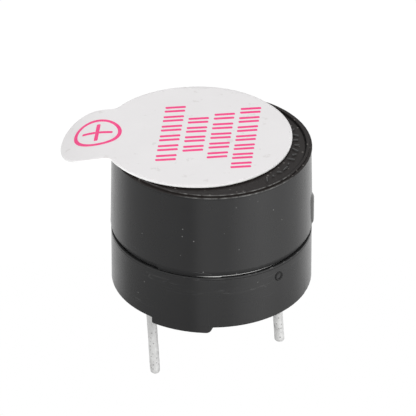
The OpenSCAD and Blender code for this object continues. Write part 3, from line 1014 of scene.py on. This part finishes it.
@dataclass
class Seal:
    """The peel-off wash seal: a die-cut disc with a tab that droops past the case, and its print.

    The sheet and its print are modelled in the seal's own frame, where +X runs from the disc's
    centre to the tab and Z is 0 at the sheet's underside, and are then bent and put in place. The
    print was made a little askew on the sheet, by print_turn degrees and print_shift. The sheet's
    slight waves are wave_h high, with a rate and an offset along X and Y. It is cut across at even
    places along X and Y, and its print every print_cut, so that they can bend. A fillet stops a
    little short of its whole length, by fillet_share, so that no two points meet. Each printed
    row has its two ends along Y and its number of double strokes, which lean by slant degrees and
    stand at two shares of each one's room.
    """

    lip_z: float
    rim_r: float
    disc_r: float
    centre: Pair
    turn: float = 174.3
    sheet_t: float = 0.1
    tab_w: float = 5.55
    tab_shift: float = -0.31
    tab_len: float = 8.30
    tab_corner: float = 2.73
    tab_fillet: float = 0.6
    fillet_share: float = 0.98
    bend_r: float = 4.79
    edge_round: float = 0.02
    wave_h: float = 0.018
    wave_x: Pair = (0.9, 0.5)
    wave_y: Pair = (0.8, 0.4)
    cuts: tuple[int, int] = (72, 38)
    print_cut: float = 0.2
    ink_t: float = 0.006
    stroke_w: float = 0.225
    stroke_round: float = 0.3
    stroke_places: Pair = (0.3, 0.7)
    print_turn: float = -5.8
    print_shift: Pair = (0.02, 0.03)
    mark_x: float = 5.90
    mark_r: float = 1.34
    plus_half: float = 0.91
    row_h: float = 1.2
    row_pitch: float = 1.5
    first_row_x: float = 1.54
    rows: tuple[tuple[float, float, int], ...] = (
        (-3.50, 3.14, 6),
        (-2.33, 1.93, 4),
        (-2.98, 2.56, 5),
        (-3.76, 3.53, 7),
    )
    slant: float = 12.0

    def lay(self, point: Vector) -> Vector:
        """Bends a point of the flat sheet past the lip and moves it to its place on the case.

        Args:
            point: A point of the flat sheet, in metres.

        Returns:
            The same point on the finished seal, in metres.
        """
        x, y, z = (c / MM for c in point)
        angle = math.radians(self.turn)
        start = self.rim_r - self.centre[0] * math.cos(angle) - self.centre[1] * math.sin(angle)
        wave_x = self.wave_x[0] * x + self.wave_x[1]
        wave_y = self.wave_y[0] * y + self.wave_y[1]
        lift = self.wave_h * math.sin(wave_x) * math.cos(wave_y)
        if x > start:
            bend = (x - start) / self.bend_r
            radius = self.bend_r + z
            x = start + radius * math.sin(bend)
            z = radius * math.cos(bend) - self.bend_r
        return shift(*self.centre, self.lip_z) @ turn_z(self.turn) @ (Vector((x, y, z + lift)) * MM)

    def fillet_points(self, side: int) -> tuple[Pair, Pair]:
        """Where the tab's straight edge leaves the disc on one side.

        Args:
            side: 1 for the edge at higher Y, -1 for the other.

        Returns:
            The fillet's end on the disc, and the corner that is rounded to make the fillet.
        """
        edge = self.tab_w / 2 + side * self.tab_shift
        centre_y = edge + self.tab_fillet
        reach = self.disc_r + self.tab_fillet
        centre_x = math.sqrt(reach**2 - centre_y**2)
        half_turn = math.acos(centre_y / reach) / 2
        on_disc = (centre_x * self.disc_r / reach, side * centre_y * self.disc_r / reach)
        return on_disc, (centre_x - self.tab_fillet * math.tan(half_turn), side * edge)

    def outline(self) -> Piece:
        """Draws the flat outline: an open circle carried on into a tab with rounded corners.

        Returns:
            The flat sheet as one face, underside at Z 0.
        """
        ends = [self.fillet_points(side) for side in (-1, 1)]
        low, high = (end[0][1] * MM for end in ends)
        deselect()
        bpy.ops.mesh.primitive_circle_add(vertices=200, radius=self.disc_r * MM)
        flat = newest("seal_sheet")
        pick(flat, Element.VERTEX, lambda p: p.x > 0 and low < p.y < high)
        bpy.ops.mesh.delete(type="VERT")
        # The two open ends go to the disc's edge, then on to the tab's roots, and then to its tips.
        for step in range(3):
            if step:
                bpy.ops.mesh.extrude_vertices_move()
            mesh = bmesh.from_edit_mesh(flat.data)
            for vertex in mesh.verts:
                if len(vertex.link_edges) == 1:
                    on_disc, corner = ends[vertex.co.y > 0]
                    x, y = (on_disc, corner, (self.tab_len, corner[1]))[step]
                    vertex.co = (x * MM, y * MM, 0.0)
                    vertex.select_set(True)
            bmesh.update_edit_mesh(flat.data)
        bpy.ops.mesh.edge_face_add()
        bpy.ops.mesh.select_all(action="SELECT")
        bpy.ops.mesh.edge_face_add()
        tips = [(self.tab_len, corner[1]) for _, corner in ends]
        roots = [corner for _, corner in ends]
        fillet = self.fillet_share * math.dist(*ends[0])
        for corners, rounding, steps in ((tips, self.tab_corner, 24), (roots, fillet, 8)):
            round_off(
                flat,
                Element.VERTEX,
                rounding,
                steps,
                lambda p: any(math.dist((p.x / MM, p.y / MM), c) < NEAR for c in corners),
            )
        return flat

    def sheet(self) -> Piece:
        """Models the sheet.

        Returns:
            The sheet in its place.
        """
        flat = self.outline()
        slice_across(flat, 0, -self.disc_r, self.tab_len, self.cuts[0])
        slice_across(flat, 1, -self.disc_r, self.disc_r, self.cuts[1])
        reshape(flat, self.lay)
        modify(flat, "SOLIDIFY", thickness=self.sheet_t * MM, offset=1.0)
        ease = {"width": self.edge_round * MM, "segments": 2}
        modify(flat, "BEVEL", **ease, limit_method="ANGLE", angle_limit=math.radians(60.0))
        return settle(flat, crisp=40.0)

    def stroke(self, length: float) -> Piece:
        """Models one flat printed stroke along X with rounded ends, at the frame's origin.

        Args:
            length: Its length in millimetres.

        Returns:
            The stroke.
        """
        bar = block("stroke", (length, self.stroke_w, 0.0))
        round_off(bar, Element.VERTEX, self.stroke_round * self.stroke_w, 3, lambda p: True)
        return bar

    def printed(self, x: float, y: float, turn: float = 0.0) -> Matrix:
        """The place of a mark on the flat sheet, from its place in the print.

        Args:
            x: Place along the print's X in millimetres.
            y: Place along the print's Y in millimetres.
            turn: The mark's own turn in degrees.

        Returns:
            The move from the frame's origin to that place.
        """
        askew = shift(*self.print_shift, 0.0) @ turn_z(self.print_turn)
        return askew @ shift(x, y, 0.0) @ turn_z(turn)

    def print_on(self, marks: list[Piece], patterns: list[Piece], name: str) -> Piece:
        """Joins flat marks, cuts them so that they can follow the sheet, and lays them on it.

        Args:
            marks: The flat marks.
            patterns: The patterns that they were copied from.
            name: Name of the printed piece.

        Returns:
            The printed piece.
        """
        ink = join(marks, patterns, name)
        places = [vertex.co.x / MM for vertex in ink.data.vertices]
        low, high = min(places), max(places)
        slice_across(ink, 0, low, high, int((high - low) / self.print_cut))
        modify(ink, "SOLIDIFY", thickness=self.ink_t * MM, offset=1.0)
        reshape(ink, lambda p: self.lay(shift(0.0, 0.0, self.sheet_t) @ p))
        return settle(ink, crisp=30.0)

    def polarity_mark(self) -> Piece:
        """Models the plus in a ring on the tab.

        Returns:
            The mark in its place.
        """
        half_stroke = self.stroke_w / 2
        deselect()
        bpy.ops.mesh.primitive_circle_add(
            vertices=72, radius=(self.mark_r + half_stroke) * MM, fill_type="NGON"
        )
        ring = newest("ring")
        edit(ring)
        bpy.ops.mesh.select_all(action="SELECT")
        bpy.ops.mesh.inset(thickness=self.stroke_w * MM)
        bpy.ops.mesh.delete(type="FACE")
        deselect()
        ring.data.transform(self.printed(self.mark_x, 0.0))
        arm, half_arm = self.stroke(2 * self.plus_half), self.stroke(self.plus_half - half_stroke)
        offset = (self.plus_half + half_stroke) / 2
        marks = [ring, copy_to(arm, self.printed(self.mark_x, 0.0, 90.0))]
        for x in (self.mark_x - offset, self.mark_x + offset):
            marks.append(copy_to(half_arm, self.printed(x, 0.0)))
        return self.print_on(marks, [arm, half_arm], "polarity_mark")

    def hatched_rows(self) -> Piece:
        """Models the printed rows of slanted double strokes across the disc.

        Returns:
            The rows in their place.
        """
        pattern = self.stroke(self.row_h / math.cos(math.radians(self.slant)))
        marks = []
        for index, (low, high, pairs) in enumerate(self.rows):
            x = self.first_row_x - index * self.row_pitch
            cell = (high - low) / pairs
            for pair in range(pairs):
                for share in self.stroke_places:
                    y = low + cell * (pair + share)
                    marks.append(copy_to(pattern, self.printed(x, y, self.slant)))
        return self.print_on(marks, [pattern], "hatched_rows")


# ---------------------------------------------------------------- leads


@dataclass
class Lead:
    """One tinned lead, which leans a little as it was last straightened by hand.

    Fields are which lead it is, its root's place along X, its length below the board plane, where
    the resin holds it, its lean and radius, its tip's rounding, the direction of the lean, the cuts
    that let it follow its swells, and those slight swells of the plating along it, each with its
    share of the radius, rate and offset.
    """

    polarity: Polarity
    root_x: float
    length: float
    top_z: float
    lean: float
    radius: float = 0.3
    tip_round: float = 0.2
    lean_dir: float = -6.0
    cuts: int = 36
    swells: tuple[Point, ...] = ((0.02, 2.1, 0.0), (0.012, 5.3, 1.0))

    def follow(self, point: Vector) -> Vector:
        """Moves a point of the straight lead, which stands on the Z axis, onto the leaning one.

        Args:
            point: A point of the straight lead, in metres.

        Returns:
            The moved point.
        """
        z = point.z / MM
        away = (self.top_z - z) * math.tan(math.radians(self.lean))
        swell = 1.0 + sum(share * math.sin(rate * z + off) for share, rate, off in self.swells)
        lean = turn_z(self.lean_dir) @ Vector((away * MM, 0.0, 0.0))
        return Vector((point.x * swell + self.root_x * MM, point.y * swell, point.z)) + lean

    def model(self) -> Piece:
        """Models the lead.

        Returns:
            The lead in its place.
        """
        height = self.length + self.top_z
        deselect()
        bpy.ops.mesh.primitive_cylinder_add(
            vertices=40,
            radius=self.radius * MM,
            depth=height * MM,
            location=(0.0, 0.0, (self.top_z - height / 2) * MM),
        )
        lead = newest(f"{self.polarity.name.lower()}_lead")
        tip = (NEAR - self.length) * MM
        round_off(lead, Element.EDGE, self.tip_round, 6, lambda a, b: max(a.z, b.z) < tip)
        slice_across(lead, 2, self.tip_round - self.length, self.top_z, self.cuts)
        reshape(lead, self.follow)
        return settle(lead, crisp=50.0)


# ---------------------------------------------------------------- moulded marks and edges


@dataclass
class MouldedRelief:
    """Small raised bars and dots round the top face, where the seal leaves it bare.

    They stand in a ring at an even pitch, from the first angle to the last, in degrees from +X.
    Patterns are lengths and widths. The draw takes one, a twist and a step in or out for each. A
    bar's foot is sunk by a share of its height, and its edges are eased by a share of its width.
    """

    face_z: float
    seal_centre: Pair
    seal_r: float
    ring_r: float = 5.04
    stray: float = 0.08
    pitch: float = 6.2
    height: float = 0.09
    sunk: float = 0.2
    ease: float = 0.3
    under_seal: float = 0.2
    first: float = -58.0
    last: float = 40.0
    patterns: tuple[Pair, ...] = ((0.46, 0.08), (0.3, 0.08), (0.12, 0.12))
    kinds: tuple[int, ...] = (0, 0, 1, 2)
    twists: tuple[float, ...] = (-35.0, 0.0, 35.0, 90.0)
    seed: int = 7

    def bar(self, length: float, width: float) -> Piece:
        """Models one raised bar with eased edges, its foot sunk in the face.

        Args:
            length: Its length along X in millimetres.
            width: Its width in millimetres.

        Returns:
            The bar, at the face's centre.
        """
        middle = self.face_z + (1.0 - self.sunk) / 2 * self.height
        bar = block("relief_bar", (length, width, (1.0 + self.sunk) * self.height), middle)
        half, above = 0.5 * self.height * MM, middle * MM
        round_off(
            bar,
            Element.EDGE,
            self.ease * width,
            2,
            lambda a, b: min(a.z, b.z) > above or abs(a.z - b.z) > half,
        )
        return bar

    def model(self) -> Piece:
        """Models the whole relief.

        Returns:
            The relief in its place.
        """
        draw = random.Random(self.seed)
        bars = [self.bar(*pattern) for pattern in self.patterns]
        made = []
        for step in range(int(360 / self.pitch)):
            polar = step * self.pitch
            kind, twist = draw.choice(self.kinds), draw.choice(self.twists)
            radius = self.ring_r + draw.uniform(-self.stray, self.stray)
            x = radius * math.cos(math.radians(polar))
            y = radius * math.sin(math.radians(polar))
            hidden = math.dist((x, y), self.seal_centre) < self.seal_r - self.under_seal
            if not hidden and self.first < (polar + 180.0) % 360.0 - 180.0 < self.last:
                made.append(copy_to(bars[kind], shift(x, y, 0.0) @ turn_z(polar + twist)))
        return settle(join(made, bars, "top_relief"), crisp=30.0)


@dataclass
class MouldMarks:
    """The soft edges of two marks that the moulds left on the walls: a gate scar and a ring.

    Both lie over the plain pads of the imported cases. Directions are in degrees from +X. The scar's
    ends are rounded by a share of its width.
    """

    scar_r: float
    ring_wall_r: float
    scar_dir: float = -9.0
    scar_z: float = 5.2
    scar_size: Point = (0.2, 1.1, 2.3)
    scar_taper: Point = (1.0, 0.62, 0.72)
    scar_round: float = 0.09
    scar_ends: float = 0.45
    ring_dir: float = -54.3
    ring_z: float = 3.05
    ring_r: float = 0.245
    ring_wire_r: float = 0.05

    def scar(self) -> Piece:
        """Models the gate scar as a low pad with rounded ends that sinks into the wall all round.

        Returns:
            The pad in its place.
        """
        deep, wide, _ = self.scar_size
        half = 0.49 * deep * MM  # just under half, so that the outermost edges pass
        pad = block("gate_scar", self.scar_size)
        round_off(pad, Element.EDGE, self.scar_ends * wide, 8, lambda a, b: abs(a.x - b.x) > half)
        pick(pad, Element.FACE, lambda middle, normal: normal.x > 0.9)
        bpy.ops.transform.resize(value=self.scar_taper)
        round_off(pad, Element.EDGE, self.scar_round, 4, lambda a, b: min(a.x, b.x) > half)
        away = shift(self.scar_r - deep / 2, 0.0, self.scar_z)
        pad.data.transform(turn_z(self.scar_dir) @ away)
        return settle(pad, crisp=60.0)

    def ring(self) -> Piece:
        """Models the ring mark as a half-sunk round bead.

        Returns:
            The ring in its place.
        """
        deselect()
        bpy.ops.mesh.primitive_torus_add(
            major_segments=40,
            minor_segments=12,
            major_radius=self.ring_r * MM,
            minor_radius=self.ring_wire_r * MM,
            rotation=(0.0, math.radians(90.0), 0.0),
        )
        bead = newest("ring_mark")
        away = shift(self.ring_wall_r, 0.0, self.ring_z)
        bead.data.transform(turn_z(self.ring_dir) @ away)
        return settle(bead, crisp=60.0)


@dataclass
class SeamEdges:
    """The two fine rounded edges that meet at the parting line between the cases.

    The lower edge is even. The upper one rolls in towards it and leaves a line, which widens over
    the angles of side, narrows again over those of back, and almost closes over the closed ones.
    Angles are from the front, in degrees. The roll is the upper edge's section, as how far in it
    lies at shares of its height. Foot is how deep the lower edge is sunk, inside and outside, and
    tuck is how far the upper edge reaches in and up behind its wall.
    """

    lower_r: float
    upper_r: float
    seat_z: float = 3.75
    lower_z: float = 3.86
    wall_z: float = 4.30
    inner_r: float = 5.86
    edge_round: float = 0.03
    foot: Pair = (0.02, 0.01)
    tuck: Pair = (0.08, 0.03)
    line: float = 0.09
    side_line: float = 0.26
    side: Pair = (20.0, 64.0)
    back: Pair = (120.0, 90.0)
    closed_line: float = 0.02
    closed: Pair = (-38.0, 0.0)
    roll: tuple[Pair, ...] = ((0.010, 0.55), (0.030, 0.20), (0.055, 0.05), (0.095, 0.0))
    steps: int = 288

    def gap(self, angle: float) -> float:
        """How far the upper edge stands above the lower one.

        Args:
            angle: Angle from the front in degrees.

        Returns:
            The gap in millimetres.
        """
        if self.closed[0] < angle < self.closed[1]:
            return self.closed_line
        shares = [(abs(angle) - near) / (far - near) for near, far in (self.side, self.back)]
        return self.line + (self.side_line - self.line) * min(max(min(shares), 0.0), 1.0)

    def ring(self, name: str, section: Callable[[float], list[Pair]]) -> Piece:
        """Models a closed ring about Z, drawn out from each point of its section to the next.

        Args:
            name: The piece's name.
            section: Gives the (radius, height) points at an angle from the front.

        Returns:
            The ring in its place.
        """
        deselect()
        bpy.ops.mesh.primitive_circle_add(vertices=self.steps, radius=self.inner_r * MM)
        ring = newest(name)
        edit(ring, Element.VERTEX)
        bpy.ops.mesh.select_all(action="SELECT")
        for index in range(len(section(0.0))):
            if index:
                bpy.ops.mesh.extrude_edges_move()
            mesh = bmesh.from_edit_mesh(ring.data)
            for vertex in mesh.verts:
                if vertex.select:
                    angle = math.atan2(vertex.co.x, -vertex.co.y)
                    r, z = section(math.degrees(angle))[index]
                    vertex.co = (r * MM * math.sin(angle), -r * MM * math.cos(angle), z * MM)
            bmesh.update_edit_mesh(ring.data)
        bpy.ops.mesh.select_all(action="DESELECT")
        for edge in mesh.edges:
            edge.select_set(edge.is_boundary)
        bmesh.update_edit_mesh(ring.data)
        bpy.ops.mesh.select_mode(type=Element.EDGE.value)
        bpy.ops.mesh.bridge_edge_loops()
        return settle(ring, crisp=60.0)

    def lower_section(self, angle: float) -> list[Pair]:
        """The lower edge's section, which is the same all round and has one rounded corner.

        Args:
            angle: Angle from the front in degrees.

        Returns:
            Its (radius, height) points.
        """
        r, z, ease = self.lower_r, self.lower_z, self.edge_round
        foot_in, foot_out = (self.seat_z - depth for depth in self.foot)
        inner = [(self.inner_r, foot_in), (self.inner_r, z), (r - ease, z)]
        return [*inner, (r - 0.3 * ease, z - 0.3 * ease), (r, z - ease), (r, foot_out)]

    def upper_section(self, angle: float) -> list[Pair]:
        """The upper edge's section at an angle, from its inner side over its wall to its foot.

        Args:
            angle: Angle from the front in degrees.

        Returns:
            Its (radius, height) points.
        """
        low = self.lower_z + self.gap(angle)
        r, rise = self.upper_r, self.wall_z - low
        behind = (r - self.tuck[0], self.wall_z + self.tuck[1])
        rolled = [(r - inward, low + share * rise) for inward, share in self.roll]
        inner = (self.inner_r, low + 0.5 * rise)
        return [inner, behind, (r, self.wall_z), *rolled, (self.inner_r, low)]


# ---------------------------------------------------------------- studio


@dataclass
class Studio:
    """Pale floor, soft lamps, white surroundings and the camera.

    The floor lies well below the leads, because the buzzer is held by its leads and not stood up.
    Floor tones are how bright it looks in the gloss of the walls, by direction in degrees from the
    camera's, and top_tone is a little over the brightest. Below the buzzer, from the second radius
    of near in to the first, they fade to their under_tone share. A lamp is its name, place, side
    and power in watts.
    """

    floor_z: float = -34.0
    floor_size: float = 4000.0
    target: Point = (0.0, 0.0, 4.75)
    distance: float = 371.0
    azimuth: float = -6.0
    elevation: float = 32.14
    lens: float = 537.6
    film: float = 36.0
    clip: Pair = (0.01, 20.0)
    frame_shift: Pair = (-0.0084, 0.0086)
    near: Pair = (44.0, 58.0)
    under_tone: float = 0.12
    top_tone: float = 1.4
    floor_tones: tuple[Pair, ...] = (
        (-180.0, 1.02), (-150.0, 1.04), (-125.0, 0.92), (-106.0, 0.56), (-60.0, 0.47),
        (-34.0, 0.42), (-20.0, 0.31), (-13.0, 0.77), (5.0, 0.74), (18.0, 0.68),
        (34.0, 1.12), (56.0, 1.35), (80.0, 0.97), (108.0, 0.82), (130.0, 1.00), (180.0, 1.02),
    )
    lamps: tuple[tuple[str, Point, float, float], ...] = (
        ("key", (90.0, -430.0, 350.0), 260.0, 1.85),
        ("fill", (-280.0, -220.0, 320.0), 300.0, 0.6),
    )
    matte: float = 0.86
    fill_light: float = 0.5

    def tone(self, graph: Graph) -> Socket:
        """How bright the floor looks in the gloss of the walls.

        Args:
            graph: The floor's graph.

        Returns:
            The brightness.
        """
        place = graph.add("TexCoord").outputs["Object"]
        turned = graph.math("SUBTRACT", graph.angle(place), math.radians(self.azimuth))
        share = graph.math("MULTIPLY_ADD", turned, 1.0 / math.tau, 0.5, clamp=True)
        ramp = graph.add("ValToRGB", {0: share})
        stops = ramp.color_ramp.elements
        while len(stops) < len(self.floor_tones):
            stops.new(0.5)
        for stop, (angle, tone) in zip(stops, self.floor_tones):
            stop.position = angle / 360.0 + 0.5
            stop.color = (*[tone / self.top_tone] * 3, 1.0)
        glow = graph.math("MULTIPLY", ramp.outputs["Color"], self.top_tone)
        near, far = (radius * MM for radius in self.near)
        away = graph.ramp(graph.length(graph.flat(place)), near, far, least=self.under_tone)
        return graph.math("MULTIPLY", glow, away)

    def floor(self) -> None:
        """Lays the floor.

        Seen from below it is clear, so that the underside of the buzzer shows.
        """
        deselect()
        bpy.ops.mesh.primitive_plane_add(
            size=self.floor_size * MM, location=(0.0, 0.0, self.floor_z * MM)
        )
        plane = newest("floor")
        material = bpy.data.materials.new("pale_floor")
        material.use_nodes = True
        graph = Graph(material.node_tree)
        white = graph.any_ray(Ray.CAMERA, Ray.TRANSMISSION)
        strength = graph.math("MAXIMUM", self.tone(graph), white)
        seen = graph.add("Emission", {"Strength": strength})
        matte = graph.add("BsdfDiffuse", {"Color": (*[self.matte] * 3, 1.0)})
        mask = graph.any_ray(Ray.CAMERA, Ray.GLOSSY, Ray.TRANSMISSION)
        above = graph.add("MixShader", {0: mask, 1: matte.outputs[0], 2: seen.outputs[0]})
        under = graph.add("NewGeometry").outputs["Backfacing"]
        clear = graph.add("BsdfTransparent")
        whole = graph.add("MixShader", {0: under, 1: above.outputs[0], 2: clear.outputs[0]})
        graph.add("OutputMaterial", {"Surface": whole.outputs[0]})
        plane.data.materials.append(material)

    def world(self) -> None:
        """Sets white surroundings, and a softer fill for the light itself."""
        world = bpy.data.worlds.new("studio")
        bpy.context.scene.world = world
        world.use_nodes = True
        graph = Graph(world.node_tree)
        strength = graph.ramp(
            graph.any_ray(Ray.CAMERA, Ray.TRANSMISSION), 0.0, 1.0, least=self.fill_light
        )
        inputs = {"Color": (1.0, 1.0, 1.0, 1.0), "Strength": strength}
        graph.add("OutputWorld", {"Surface": graph.add("Background", inputs).outputs[0]})

    def stand(self, name: str, data: bpy.types.ID, place: Vector) -> Piece:
        """Stands a lamp or the camera at a place and points it at the buzzer.

        Args:
            name: The object's name.
            data: The lamp's or camera's data.
            place: Its place in millimetres.

        Returns:
            The object.
        """
        piece = bpy.data.objects.new(name, data)
        piece.location = place * MM
        aim = Vector(self.target) - place
        piece.rotation_euler = aim.to_track_quat("-Z", "Y").to_euler()
        bpy.context.scene.collection.objects.link(piece)
        return piece

    def lamp(self, name: str, place: Point, size: float, power: float) -> None:
        """Adds one square soft lamp.

        Args:
            name: The lamp's name.
            place: Its place in millimetres.
            size: Its side in millimetres.
            power: Its power in watts.
        """
        data = bpy.data.lights.new(name, "AREA")
        data.size = size * MM
        data.energy = power
        self.stand(name, data, Vector(place)).visible_glossy = False

    def camera(self) -> None:
        """Places the camera."""
        data = bpy.data.cameras.new("camera")
        data.lens = self.lens
        data.sensor_width = self.film
        data.shift_x, data.shift_y = self.frame_shift
        data.clip_start, data.clip_end = self.clip
        level, rise = math.radians(self.azimuth), math.radians(self.elevation)
        flat = math.cos(rise)
        away = Vector((math.sin(level) * flat, -math.cos(level) * flat, math.sin(rise)))
        place = Vector(self.target) + away * self.distance
        bpy.context.scene.camera = self.stand("camera", data, place)

    def build(self) -> None:
        """Builds everything of the studio."""
        self.camera()
        self.floor()
        self.world()
        for lamp in self.lamps:
            self.lamp(*lamp)
        bpy.context.scene.view_settings.view_transform = "Standard"


# ---------------------------------------------------------------- assembly


@dataclass
class Buzzer:
    """The whole buzzer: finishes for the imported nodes, and the pieces modelled here.

    The seal was stuck on by hand, seal_slip off its place towards the tab. The seal bends rim_in
    inside the case's wall, the leads start lead_in inside the resin, and the gate scar stands
    scar_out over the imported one. Leans are the two leads', in degrees.
    """

    shared: SharedEffects
    seal_slip: float = 0.07
    rim_in: float = 0.2
    lead_in: float = 0.35
    scar_out: float = 0.05
    leans: Pair = (2.95, 3.6)
    materials: dict[str, bpy.types.Material] = field(default_factory=dict)

    def finish_nodes(self) -> None:
        """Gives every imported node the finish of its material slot."""
        self.materials = {
            slot: finish.build(self.shared) for slot, finish in finishes().items()
        }
        for part in frame["record"]["subparts"]:
            node = frame["nodes"][part["node"]]
            node.data.materials.clear()
            node.data.materials.append(self.materials[part["material_slot"]])
            log.info("%s: %s", part["node"], part["material_slot"])

    def finish_piece(self, piece: Piece, finish: str, replaced: str = "") -> None:
        """Gives a piece its material and its place in the model.

        Args:
            piece: The finished piece.
            finish: The finish that it gets.
            replaced: The node that it stands for, if any.
        """
        piece.data.materials.clear()
        piece.data.materials.append(self.materials[finish])
        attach(piece, BODY)
        if replaced:
            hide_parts(replaced)
        log.info("%s: %d faces", piece.name, len(piece.data.polygons))

    def seal(self) -> Seal:
        """Works out the seal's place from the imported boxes.

        Returns:
            The seal, not yet modelled.
        """
        low, high = (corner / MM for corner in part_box("seal_label"))
        disc_r = (high.y - low.y) / 2
        centre = (high.x - disc_r - self.seal_slip, (high.y + low.y) / 2)
        lip_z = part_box("upper_case")[1].z / MM
        rim_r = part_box("lower_case")[1].x / MM - self.rim_in
        return Seal(lip_z=lip_z, rim_r=rim_r, disc_r=disc_r, centre=centre)

    def lead(self, polarity: Polarity, lean: float) -> Lead:
        """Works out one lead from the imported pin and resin.

        Args:
            polarity: Which lead it is.
            lean: Its lean in degrees.

        Returns:
            The lead, not yet modelled.
        """
        resin_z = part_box("resin_fill")[0].z / MM + self.lead_in
        low, high = (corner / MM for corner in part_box(f"{polarity.name.lower()}_pin"))
        return Lead(polarity, (low.x + high.x) / 2, -low.z, resin_z, lean)

    def build(self) -> None:
        """Finishes the nodes and models the pieces."""
        self.finish_nodes()
        seal = self.seal()
        self.finish_piece(seal.sheet(), "seal", "seal_label")
        self.finish_piece(seal.polarity_mark(), "ink")
        self.finish_piece(seal.hatched_rows(), "ink")
        for polarity, lean in zip(Polarity, self.leans):
            lead = self.lead(polarity, lean).model()
            self.finish_piece(lead, "tin", f"{polarity.name.lower()}_pin")
        face_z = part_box("seal_adhesive")[0].z / MM
        relief = MouldedRelief(face_z, seal.centre, seal.disc_r)
        # The relief's finish is paler than the case, as a painted highlight.
        self.finish_piece(relief.model(), "raised")
        lower_r, upper_r = (-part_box(case)[0].x / MM for case in ("lower_case", "upper_case"))
        seam = SeamEdges(lower_r, upper_r)
        # The seam finish paints highlights along these edges, with some rubbed wear.
        self.finish_piece(seam.ring("lower_seam_edge", seam.lower_section), "seam")
        self.finish_piece(seam.ring("upper_seam_edge", seam.upper_section), "seam")
        marks = MouldMarks(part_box("upper_case")[1].x / MM + self.scar_out, lower_r)
        # The gate scar's finish paints its highlight into its colour.
        self.finish_piece(marks.scar(), "torn")
        self.finish_piece(marks.ring(), "dull")


def main() -> None:
    """Builds the studio and the buzzer."""
    logging.basicConfig(level=logging.INFO, format="%(name)s: %(message)s")
    Studio().build()
    Buzzer(SharedEffects()).build()


if __name__ == "__main__":
    main()
